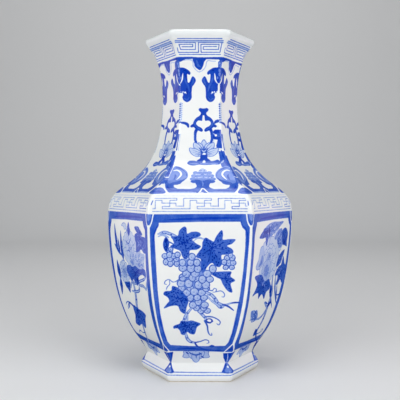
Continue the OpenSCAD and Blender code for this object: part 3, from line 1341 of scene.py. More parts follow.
        # The curl's pale wash: partly the scroll's own tone, partly a painted reflection of the lamp
        # overhead.
        b.patch(SOFT, [(-31.2, 25.2), (-29, 33), (-26.4, 39.6), (-23.6, 40.6), (-19.6, 39.2), (-15.6, 36.4),
            (-13, 33), (-12, 29), (-12.7, 25), (-15, 22), (-19.8, 19.6), (-22.4, 17), (-27.4, 15.4),
            (-32, 18)])
        b.line(MID, [(-25.4, 38.4, 0.8), (-21.6, 38.4, 2.2), (-17.4, 35.6, 1.4), (-14, 31.4, 1),
            (-13.4, 27.4, 1.2)])
        b.line(MID, [(-27.4, 16.4, 3), (-21, 18.8, 3.4), (-16.6, 21.6, 2.2), (-13.6, 25.4, 0.8)])
        b.line(None, [(-26.8, 34.6, 0.7), (-23.4, 35.4, 1.6), (-20.2, 33.2, 1.9), (-19, 29.6, 1.9),
            (-20.6, 26, 1.7), (-23.6, 22, 0.5)])
        b.line(MID, [(-25.6, 30.6, 0.5), (-24.6, 27, 2.6), (-26, 22.4, 1.6)])
        b.patch(MID, [(-34.2, 16), (-27, 15.6), (-26.8, 9), (-22, 6.6), (-30, 4.6), (-33.4, 7)])
        b.line(None, [(-35.6, 17, 0.6), (-34.9, 12, 1), (-34, 7.6, 1), (-31.6, 3.6, 0.9), (-30.2, 2, 0.5)])
        b.patch(MID, [(-34.6, 1.8), (-35.6, 7.4), (-38.4, 9.8), (-42, 9.6), (-50, 7), (-50, 1.6)])
        b.line(DEEP, [(-31.8, 14, 0.8), (-31.6, 9.6, 2.2), (-28, 6.4, 1.8), (-20, 5.8, 1.6), (-8, 6.2, 0.6)])
        b.line(DEEP, [(-37.4, 4, 0.6), (-41, 4.4, 3), (-47, 3.6, 1.6)])
        b.line(PALE, [(-30.4, 3, 0.8), (-16, 3.2, 1.2), (-4, 3, 0.8)])

    def cloud(self, b: Brush) -> None:
        """The tiered cloud between the scrolls, standing on a chevron. Its upper tiers are paler and carry
        pale lines in their gaps, partly its own washes and partly a painted reflection of the lamp overhead
        on the shoulder slope.

        Args:
            b: the brush.
        """
        # The tiers grow paler upwards: partly the cloud's own washes, partly a painted reflection of the
        # lamp overhead.
        tiers = ((MID, 19.4, 3, (-8.8, -4.4, 4.8, 9.6)), (SOFT, 23.2, 3.1, (-9.6, -4.6, 5, 10.4)),
            (SOFT, 27.6, 2.9, (-8.6, -4, 4.4, 9)), (SOFT, 31.8, 2.7, (-7, -2.6, 2.8, 7)),
            (PALE, 35.6, 2.8, (0,)))
        gaps = ((27.6, (-4, 4)), (31.8, (-3, 3)), (35.6, (0,)))
        b.patch(MID, [(-10, 7.4), (-6.6, 10), (-5.8, 13), (-7, 17), (-6, 24), (0, 26), (6.4, 24), (7.6, 17),
            (6.4, 13), (7.4, 10), (11, 7.4), (5, 5), (-5, 5)])
        b.patch(SOFT, [(-4, 22), (-4.4, 33), (4.4, 33), (5, 22)])
        for tone, s, r, places in tiers:
            for x in places:
                b.disc(tone, x, s, r, 0.8)
                b.line(MID, [(x - 0.8 * r, s - 0.4 * r, 0.3), (x, s - 0.72 * r, 0.8),
                    (x + 0.8 * r, s - 0.4 * r, 0.3)])
        # Pale lines in the gaps between the lobes, partly painted highlights.
        for s, places in gaps:
            for x in places:
                b.line(PALE, [(1.9 * x - 1.5, s - 1.6, 0.3), (x, s - 2.3, 0.9), (0.2 * x + 1, s - 1.5, 0.4)])
        for x, s, r in ((0, 28.6, 1.7), (-6.6, 25.2, 1.4), (6.8, 25.2, 1.4), (-2, 34.4, 1.2),
                (2.6, 34.6, 1.2)):
            b.line(MID, [(x - 1.6 * r, s, 0.3), (x, s + 0.8 * r, 1.1), (x + 1.6 * r, s, 0.3)])
        for flip in (1, -1):
            m = b.at(0.3, 0, flip=flip)
            m.line(MID, [(-9.4, 21.4, 0.4), (-5.4, 21.6, 1.9), (-1.6, 18.6, 2), (-2.4, 12, 1.8),
                (-4.6, 8, 0.5)])
            m.line(MID, [(-9, 17.4, 0.3), (-6.4, 17, 1.4), (-4.6, 14.6, 0.4)])
        b.line(SOFT, [(-0.6, 20.6, 0.4), (0.4, 16.4, 1.3), (0.2, 12, 0.5)])
        b.rule(None, [(-4.4, 1.4, 0.8), (-2, 5, 1.2), (-0.4, 8.6, 1.5), (1.4, 8, 1.3), (4.2, 4.2, 1.2),
            (6.4, 1.8, 0.8)])
        b.patch(MID, [(-2, 3), (0, 6.2), (2.6, 3)], smooth=False)


@dataclass(frozen=True)
class BellyFrame:
    """What surrounds the picture on a belly wall: the key fret, the blue frame and the foot band.

    Attributes:
        seams: for the left and the right arris, how far the bare line that runs down it has
            strayed to the right of it by hand, at the top and at the bottom.
        bows: how far the panel's left and right edges swell to the right, half-way up.
        repeat: length of one turn of the key fret.
        fine: width of the ruled lines.
    """

    seams: tuple[tuple[float, float], tuple[float, float]] = (USUAL_STRAY, USUAL_STRAY)
    bows: tuple[float, float] = USUAL_BOW
    repeat: float = 33.7
    fine: float = 0.7

    def paint(self, wall: Painting) -> None:
        """Paints everything but the picture.

        Args:
            wall: the wall's painting.
        """
        b = Brush(wall)
        self.fret(b, wall)
        self.frame(b, wall)
        self.foot_band(b, wall)

    def fret(self, b: Brush, wall: Painting) -> None:
        """Two interlocking lines of one repeat, broken off short of each arris.

        Args:
            b: the brush.
            wall: the wall's painting.
        """
        turns = [(0, 168.5), (0, 177.2), (27, 177.2), (27, 174.9), (20.3, 174.9), (20.3, 168.7),
            (13.2, 168.7)]
        turns += [(13.2, 166.4), (40, 166.4), (40, 174.9), (46.4, 174.9), (46.4, 172), (60, 172), (60, 169)]
        turns += [(66.8, 169)]
        for n in range(-3, 2):
            tone = MID if n >= 0 else SOFT
            b.at(17.8 + self.repeat * n, 0).rule(tone, turns, self.fine)
        b.rule(SOFT, [(-60, 163.9, 0.7), (0, 163.6, 0.6), (60, 163.8, 0.7)])
        b.rule(PALE, [(-60, 180), (60, 180)], 0.6)
        for way in (-1, 1):
            e = Brush(wall.from_arris(way))
            e.rule(None, [(0, 161.6), (0, 181.2)], 8.4)
            e.rule(MID, [(-3, 170), (-2.6, 174)], 0.9)
            e.rule(MID, [(2.6, 170.5), (3.2, 174.5)], 0.9)

    def frame(self, b: Brush, wall: Painting) -> None:
        """The frame: a blue field from arris to arris, with the panel scraped out of it.

        Args:
            b: the brush.
            wall: the wall's painting.
        """
        field = [(-60, 15.6), (-30, 16), (0, 16), (27, 14.6), (60, 15), (60, 161.3), (0, 161.4), (-60, 161)]
        b.patch(MID, field, smooth=False)
        left = [(-39.8, 152.8), (-40, 150), (-41.4, 147.4), (-43.8, 144.4), (-43.9, 138), (-43.4, 126),
            (-42.5, 108)]
        left += [(-41.4, 86), (-39.2, 62), (-35.8, 42), (-32.6, 29), (-29.6, 24.4)]
        right = [(25.4, 23.2), (28.2, 28), (30.8, 40), (33.2, 58), (36.6, 80), (40, 106), (42.8, 128),
            (43.8, 140)]
        right += [(43.8, 145.4), (41, 148.4), (40, 151.4), (39.3, 153.9)]
        left, right = (
            [(x + bow * max(0.0, math.sin(math.pi * (s - 23) / 123)), s) for x, s in edge]
            for edge, bow in zip((left, right), self.bows)
        )
        b.patch(None, left + [(-10, 22.9), (10, 22.8)] + right + [(0, 153.8)], smooth=False)
        for x0, s0, x1, s1, wide in ((-36, 155.4, 38, 157.4, 2.6), (-27, 18.6, 25, 17, 2.2)):
            b.line(DEEP, [(x0, s0, 0.6), (0.4 * x0, s0 + 1, wide), (0.5 * x1, s1, wide), (x1, s1, 0.8)])
        b.line(DEEP, [(-40.4, 150.6, 0.6), (-42.6, 147, 1.6), (-45.4, 136, 1.4), (-45.2, 110, 0.5)])
        b.line(DEEP, [(39.4, 155, 1.2), (41.2, 150, 1.4), (44.6, 146.6, 1.8), (46.4, 136, 1.2),
            (45.6, 112, 0.4)])
        b.line(DEEP, [(-42, 84, 0.4), (-39.4, 54, 1.4), (-34, 30, 1.2)])
        b.line(DEEP, [(30, 27, 1), (35.2, 50, 1.2), (40.6, 80, 0.4)])
        for way, (top, bottom) in zip((-1, 1), self.seams):
            e, f = (Brush(wall.from_arris(way), x=stray) for stray in (top, bottom))
            e.rule(None, [(bottom - top, 26, 2.6), (0.72 * (bottom - top), 60, 3.5),
                (0.24 * (bottom - top), 120, 3.7), (0, 149, 3)])
            e.line(None, [(0.3, 147.6, 1.8), (3.2, 153.4, 1.1), (4.8, 161, 1.3)])
            e.line(None, [(-0.3, 147.6, 1.8), (-3.6, 153.4, 1.2), (-4.8, 161, 1.4)])
            f.rule(None, [(0, 27, 1.6), (-5.6, 15, 1.2)])
            f.rule(None, [(0, 27, 1.6), (4.4, 15, 1.2)])
            e.patch(SOFT, [(-2, 160.4), (2.4, 160.4), (1.2, 155.4), (-1, 155.6)])
            e.line(DEEP, [(-3.2, 157.4, 0.6), (-1.4, 152.6, 1.4), (0.4, 151, 1.2)])
            f.patch(DEEP, [(-3, 17), (2.4, 17), (0, 22)])

    def foot_band(self, b: Brush, wall: Painting) -> None:
        """Under the frame: a hanging lotus on each side and a dark dart on each arris.

        Args:
            b: the brush.
            wall: the wall's painting.
        """
        for way in (-1, 1):
            e = Brush(wall.from_arris(way))
            e.patch(DEEP, [(-10.6 + 1.4 * way, 12.8), (-1, 13.4), (6, 14.8), (2.8, 7), (-0.6, 0.4),
                (-3.2, 0.4), (-7.2, 7)], smooth=False)
            e.line(MID, [(1.6, 12.6, 1.4), (0.8, 7, 2), (-1.8, 1.2, 0.8)])
            e.line(PALE, [(-4.4, 12.6, 0.5), (-2.6, 6.6, 0.7), (-2, 1, 0.5)])
        outer = [(-12.4, 15.6), (-12.4, 12), (-13.4, 7.6), (-8.4, 6.6), (-6.4, 10), (-6, 15.6)]
        inner = [(-7.8, 15.6), (-8.2, 11), (-5.4, 6), (-2.4, 6.4), (0, 11), (0, 15.6)]
        for petal in (outer, inner):
            for flip in (1, -1):
                m = b.at(-4, 0, flip=flip)
                m.patch(PALE, petal)
                m.line(MID, petal, 0.7, closed=True)
        tongue = [(-3.8, 13.6), (-4.4, 7), (-2.6, 2.2), (0, 0.8), (2.4, 2.4), (3.8, 7), (3.6, 13.6)]
        m = b.at(-4, 0)
        m.patch(PALE, tongue)
        m.line(MID, tongue, 0.7)
        for x, s in ((-9, 14), (6.4, 8.6), (4.4, 13), (-5.6, 13.4)):
            m.line(DEEP, [(x - 1.4, s + 1, 0.6), (x, s - 0.8, 1.8), (x + 1.6, s - 2.4, 0.5)])
        m.line(MID, [(-6.4, 13.4, 0.6), (-3, 11.4, 2.2), (0, 10.4, 2.6), (3, 11.4, 2.2), (6.4, 13.4, 0.6)])
        m.line(MID, [(0, 10, 1.8), (0.2, 5.4, 0.5)])


class Leaf(Enum):
    """The finishes a leaf can have: its wash, its veins, and the strokes between them."""

    DARK = (MID, INK, MID)
    # A paler leaf. At the upper right of the peony branch, this lighter wash also stands in for a painted
    # reflection of a lamp in the glaze.
    FADED = (MID, DEEP, SOFT)
    WASHED = (SOFT, MID, PALE)
    THIN = (PALE, SOFT, FAINT)


@dataclass(frozen=True)
class Picture:
    """Plants painted on a belly panel, and the strokes that every kind of picture is made of."""

    def paint(self, wall: Painting, flip: int = 1) -> None:
        """Paints the picture, or its mirror image where flip is -1. Each kind has its own."""
        raise NotImplementedError

    def leaf(self, b: Brush, heart: tuple[float, float], outline: Points, tips: Points,
             look: Leaf = Leaf.DARK) -> None:
        """A leaf with a vein to each tip, and light strokes and dark dabs between the veins.

        Args:
            b: the brush.
            heart: where the veins meet.
            outline: the points round it.
            tips: where the veins end.
            look: its finish.
        """
        wash, vein, light = look.value
        inside = b.patch(wash, outline)
        b.line(vein, outline, 1.1, within=inside, closed=True)
        for x, s in tips:
            dx, ds = x - heart[0], s - heart[1]
            for side, near, far in ((1, 0.2, 0.74), (-1, 0.3, 0.8)):
                off = side * (0.12 + 0.1 * (near < 0.25))
                strokes = [(heart[0] + k * dx - w * off * ds, heart[1] + k * ds + w * off * dx, wide)
                           for k, w, wide in ((near, 0.8, 0.3), (0.5 * (near + far), 1.1, 1.1),
                                              (far, 0.7, 0.3))]
                b.line(light, strokes, within=inside)
            for n in range(10):
                along = 0.14 + 0.08 * n
                out = (1 - 2 * (n % 2)) * (0.09 + 0.1 * (3 * n % 4)) * (1.06 - along)
                fx, fs = heart[0] + along * dx - out * ds, heart[1] + along * ds + out * dx
                b.line(vein, [(fx, fs, 0.7), (fx + 0.04 * dx, fs + 0.04 * ds, 1.7),
                              (fx + 0.1 * dx, fs + 0.1 * ds, 0.4)],
                       within=inside)
        for x, s in tips:
            dx, ds = x - heart[0], s - heart[1]
            b.line(vein, [(heart[0] + k * dx - w * ds, heart[1] + k * ds + w * dx, wide)
                          for k, w, wide in ((0, 0, 1.2), (0.5, 0.04, 0.9), (0.9, 0, 0.3))], within=inside)

    def blade(self, b: Brush, x: float, s: float, turn: float, long: float, wide: float,
              look: Leaf = Leaf.DARK) -> None:
        """A single pointed leaf.

        Args:
            b: the brush.
            x, s: where its stalk joins.
            turn: where it points, in degrees anticlockwise from straight up.
            long, wide: its length and width.
            look: its finish.
        """
        m = b.at(x, s, turn=turn)
        edge = [(0, 0), (-0.3, 0.16), (-0.5, 0.4), (-0.4, 0.58), (-0.34, 0.7), (0.04, 1), (0.3, 0.76),
                (0.36, 0.6), (0.5, 0.44), (0.3, 0.14)]
        self.leaf(m, (0, 0.12 * long), [(wide * u, long * v) for u, v in edge],
                  [(-0.3 * wide, 0.7 * long), (0.04 * wide, 0.98 * long), (0.32 * wide, 0.66 * long)], look)

    def twig(self, b: Brush, points: Points, core: float = 0.5) -> None:
        """A branch drawn with a dark edge and a pale core, a share of its width across."""
        b.line(MID, points)
        b.line(PALE, [(x, s, core * w) for x, s, w in points])

    def knots(self, b: Brush, points: Points) -> None:
        """Short dark dabs along a branch."""
        for x, s, r in points:
            b.disc(DEEP, x, s, r, 0.8)

    def petals(self, b: Brush, x: float, s: float, count: int, long: float, wide: float, start: float = 0.0,
               wash: Tone = FAINT) -> None:
        """A ring of pale petals with darker edges and streaks, one each step of a full turn.

        Args:
            b: the brush.
            x, s: the middle of the flower.
            count: how many petals.
            long, wide: a petal's length and width.
            start: the first one's turn, in degrees.
            wash: the petals' tone.
        """
        for n in range(count):
            m = b.at(x, s, turn=start + 360 * n / count)
            w = wide * (1 + 0.12 * math.sin(2.4 * n + 1))
            outline = [(0, 0.15 * long), (-0.42 * w, 0.55 * long), (-0.46 * w, 0.86 * long),
                (-0.12 * w, long), (0.05 * w, 0.93 * long), (0.3 * w, 0.99 * long), (0.5 * w, 0.8 * long),
                (0.38 * w, 0.5 * long)]
            m.patch(None, outline)
            m.patch(wash, outline)
            m.line(MID, outline, 0.55, closed=True)
            for share in (-0.24, 0.0, 0.26):
                m.rule(SOFT, [(share * 0.4 * w, 0.34 * long, 1), (share * w, 0.74 * long, 0.4)])


@dataclass(frozen=True)
class GrapeVine(Picture):
    """A hanging bunch of grapes among vine leaves."""

    def paint(self, wall: Painting, flip: int = 1) -> None:
        """Paints twigs first, then the grapes, then the leaves over them.

        Args:
            wall: the wall's painting.
            flip: -1 for the mirror image.
        """
        b = Brush(wall, flip=flip)
        self.stems(b)
        self.grapes(b)
        self.leaves(b)
        self.tendrils(b)

    def bunch(self, b: Brush, rows: Sequence[tuple[float, float, tuple[float, ...]]]) -> None:
        """Grapes laid from the lowest row up, each over the ones before it.

        Args:
            b: the brush.
            rows: for each row its height, its grapes' radius, and where each grape stands.
        """
        for s, r, places in rows:
            for n, x in enumerate(places):
                tall = 1.0 + 0.14 * math.sin(2.1 * x + s)
                b.disc(None, x, s, r, tall)
                b.disc(PALE, x, s, r, tall)
                b.ring(DEEP, x, s, r, 0.85, tall)
                b.line(SOFT, [(x + 0.1 * r, s - 0.68 * r, 0.3), (x + 0.55 * r, s - 0.4 * r, 0.9),
                    (x + 0.68 * r, s + 0.1 * r, 0.3)])
                b.disc(None, x - 0.4 * r, s + 0.4 * r, 0.1 * r)
                b.disc(DEEP, x - 0.3 + 0.5 * (n % 2), s - 0.4, 0.5)

    def grapes(self, b: Brush) -> None:
        """The great bunch and the two small ones behind the leaves.

        Args:
            b: the brush.
        """
        self.bunch(b, ((114.6, 2.7, (-33, -24.6)), (112.8, 2.5, (-28.8, -22.6)), (117.6, 2.9, (-29.2, -23)),
            (120.4, 2.9, (-34, -25.6)), (124, 2.7, (-29.4,)), (121.6, 2.6, (-29.8, -21.8)),
            (127, 2.2, (-28.4,))))
        self.bunch(b, ((109, 2.5, (25, 31)), (113.6, 2.8, (28, 32.2)), (114.4, 2.6, (23.6,)),
            (118.6, 2.7, (26.4, 31.4)), (121, 2.2, (29.6,))))
        b.patch(SOFT, [(-19, 112), (-6, 119), (4, 108), (10, 104), (8, 90), (3, 82), (6, 74), (7, 65),
            (0, 65), (-8, 71), (-10, 80), (-17, 87), (-20, 95), (-15, 102)])
        self.bunch(b, ((64.6, 3.2, (1, 7.2)), (67.4, 3, (-3.4, 3.6)), (70.8, 3.6, (-7, 4.6)),
            (74, 3.2, (-1.6,)), (78.4, 3.3, (-9.4, -2.8, 4)), (83.6, 3.7, (-13, 1.6)),
            (88, 3.3, (-18, -9.4, 6)), (84.6, 4, (-5.6,)), (97.6, 3.3, (-3,)), (91.6, 3.8, (-1.4, 5.6)),
            (93, 3.9, (-18.4, -11)), (97.2, 3.5, (2.2, 9.6)), (99, 3.4, (-17, -7.4)),
            (102.8, 3.9, (-13.2, -4.8, 7)), (108.4, 3.9, (-16.6, -8.8)), (107.6, 3.4, (-2.2, 12.4)),
            (113.8, 3.2, (-17, -9.2, -3)), (119.6, 3.2, (-7.8,))))

    def leaves(self, b: Brush) -> None:
        """Five vine leaves and a bud.

        Args:
            b: the brush.
        """
        self.leaf(b, (-15, 133.5), [(-15.4, 149.2), (-13, 147.4), (-12.4, 142.4), (-8, 144), (-2, 144),
            (0.8, 141), (-3, 138.4), (-7.6, 136.4), (-3.4, 132.6), (0.8, 129.8), (-3, 126.8), (-9.6, 126),
            (-10.4, 121.4), (-13.4, 116.8), (-17, 119.4), (-19.4, 125.4), (-24, 127.4), (-29, 129.8),
            (-25.6, 132.6), (-26.4, 136.4), (-28, 139.4), (-21.6, 140.4), (-20, 145.4)],
            [(-15.4, 149), (0, 141.8), (0, 129.4), (-13.4, 117), (-28, 130), (-26, 139)])
        self.leaf(b, (11.5, 128.5), [(20.8, 145.8), (22.4, 142), (22.2, 136.6), (28, 137), (34.4, 136.6),
            (31, 132.4), (26.4, 130.4), (31.4, 127), (32, 123.4), (26, 121.8), (20.8, 121), (21.6, 113.6),
            (19.2, 109.6), (15.2, 110.4), (11.6, 113.6), (7.4, 110), (3, 103.4), (0.8, 106.4), (0.9, 113),
            (0.4, 117.4), (-4, 119.6), (-0.8, 125), (2, 129), (2.4, 134), (5.4, 138.4), (9.6, 136.4),
            (13.4, 134.8), (15.6, 139.4)], [(20.6, 145), (33.6, 136), (31.4, 124), (19, 110.4), (3.2, 104.4),
            (-3, 119.8), (5.4, 137.6)])
        self.leaf(b, (24, 98), [(11.4, 102.4), (16, 104.6), (24, 105.2), (30.6, 104.8), (29.8, 100.2),
            (34.4, 96), (30, 92.6), (31.8, 84.2), (27, 85.4), (22.4, 92), (20, 97), (15.6, 99.4)],
            [(12, 102), (30.4, 104.4), (33.8, 96), (31.4, 84.8)])
        self.leaf(b, (-20, 77.5), [(-27, 90.4), (-20.6, 88), (-14.6, 81.6), (-11.2, 76), (-13.2, 68),
            (-14.8, 61.4), (-19.6, 64.4), (-22, 69.8), (-28.6, 69.6), (-35.6, 67.2), (-32.4, 72.2),
            (-30.2, 75.2), (-32, 79), (-35.8, 81.8), (-34.2, 85), (-28.2, 85.8)], [(-26.4, 89.6), (-12, 76),
            (-15, 62), (-35, 67.6), (-35, 83)])
        self.leaf(b, (-12.5, 48), [(-26.2, 44.8), (-26, 48), (-20.4, 50.4), (-18.6, 53.6), (-12.6, 53),
            (-8.4, 54), (-3, 52.2), (0.8, 50), (-3, 46.4), (-4.4, 40.8), (-6.4, 37.8), (-10, 38.8),
            (-12.8, 40.8), (-15.2, 37.4), (-18.6, 38), (-20.2, 42.4), (-22.6, 45)], [(-25.6, 46.4),
            (-19, 52.6), (0, 50), (-6, 38.4), (-17, 38)])
        self.leaf(b, (-32.6, 133), [(-33, 139), (-29.8, 134), (-31, 127.4), (-32.6, 124.2), (-35.4, 128),
            (-35.8, 134)], [(-32.8, 138), (-32.6, 125)])
        b.line(MID, [(-31, 135, 0.8), (-27.4, 133, 1.2), (-24.6, 131.4, 0.7)])

    def stems(self, b: Brush) -> None:
        """The woody stems: one across the top left, one to the right and one down to the lowest leaf.

        Args:
            b: the brush.
        """
        self.twig(b, [(-40.4, 142, 1.4), (-35, 143.6, 3), (-30, 142.4, 3), (-24, 139.6, 3.2),
            (-17, 135, 2.6)])
        self.twig(b, [(-40.4, 139.4, 0.8), (-37, 141, 1.6), (-33, 140, 1.8), (-30.4, 138.6, 0.8)])
        self.twig(b, [(-6, 135.2, 0.8), (-1.6, 138.4, 1.5), (5, 136.4, 1.2)])
        self.twig(b, [(5.4, 84, 2.6), (11, 81.4, 3.2), (15, 77, 3.4), (18, 72.6, 3.2), (24.6, 70.8, 2),
            (30.6, 72.8, 1.5), (38.6, 73.6, 1.6)])
        self.twig(b, [(7, 80.4, 1.4), (11.4, 75.4, 2.2), (16.4, 71.6, 2.4), (20, 68.6, 3.6),
            (23.4, 69.4, 1.4)])
        b.line(DEEP, [(22, 71.4, 1.2), (27.6, 69.4, 1.8), (33.2, 65, 0.9)])
        b.line(DEEP, [(30, 72.4, 0.8), (34, 73.4, 1.4), (39, 73.2, 1.6)])
        self.twig(b, [(-6.6, 69, 1.8), (-10.6, 64.6, 2.4), (-14, 59.4, 3.2), (-16.6, 52, 2.6)])
        self.twig(b, [(-12.4, 60, 1.4), (-12.6, 52.4, 2)])
        self.twig(b, [(-4, 68, 1.2), (0.4, 62.6, 3), (4, 58.4, 3), (6, 55, 2)])
        self.twig(b, [(-14.4, 40, 2.2), (-12.8, 33, 3.4), (-9.6, 28.8, 3.2), (-4.4, 27.6, 2)])
        self.knots(b, [(-36.4, 143.6, 0.8), (-33, 142.6, 0.7), (-28, 141.4, 1), (-23, 138.8, 0.9),
            (10, 81.8, 0.8), (14.6, 77.4, 1), (17.4, 73.2, 0.9), (20.6, 68.4, 1), (-12.4, 62, 0.9),
            (-15.4, 55.6, 1), (2, 61.4, 1.1), (4.6, 57.6, 1), (-13, 33.6, 1), (-8.6, 28.2, 1.1)])

    def tendrils(self, b: Brush) -> None:
        """The fine curling tendrils.

        Args:
            b: the brush.
        """
        thin = [
            [(-13.4, 101.6, 0.9), (-18.6, 99.4, 0.9), (-22, 96, 0.9), (-26.4, 94.4, 0.9), (-30, 97, 0.8),
             (-33.6, 95.6, 0.8),
             (-34.6, 92.8, 0.8), (-32.6, 92, 0.6)],
            [(-30, 96.4, 0.7), (-29.6, 92.4, 0.7), (-32, 89.4, 0.9), (-33, 86.6, 0.5)],
            [(6.6, 87.6, 0.8), (11.6, 85.6, 1), (14, 88, 0.8), (16, 87, 0.8), (15.2, 84.4, 0.7),
             (12.6, 84.2, 0.6)],
            [(15.2, 84.4, 0.7), (20.6, 85.4, 0.9), (24, 82.2, 0.9), (23.4, 79.2, 0.8), (21.4, 79.4, 0.6)],
            [(5.4, 58, 1.6), (11.4, 58, 1.3), (16.6, 55.8, 1.2), (20, 52.4, 1), (18.8, 49, 0.9),
             (16.6, 50.4, 0.7)],
            [(4.6, 53.6, 1.8), (7.2, 48, 1.6), (8, 41.6, 1.5), (9.6, 37.6, 1.1), (11.8, 37, 0.9),
             (11.6, 39.4, 0.6)],
            [(-4.4, 27.8, 1.8), (0.6, 29.2, 1.4), (5.2, 31.2, 1.2), (8.4, 30, 1), (8.8, 27.4, 0.9),
             (6.8, 26.4, 0.5)],
        ]
        for line in thin:
            b.line(MID, line)
        b.ring(DEEP, 9, 53.6, 3, 1.5, 0.75)
        b.line(DEEP, [(6.4, 53, 1.6), (9.6, 51.4, 1.6), (12.6, 53, 1)])
        b.line(DEEP, [(-5.2, 27.4, 1.6), (-2.6, 22.6, 2), (2.6, 19.4, 2), (7.4, 17, 2.4)])
        b.patch(DEEP, [(9, 22.6), (12, 24.6), (15, 22.6), (12, 21)])


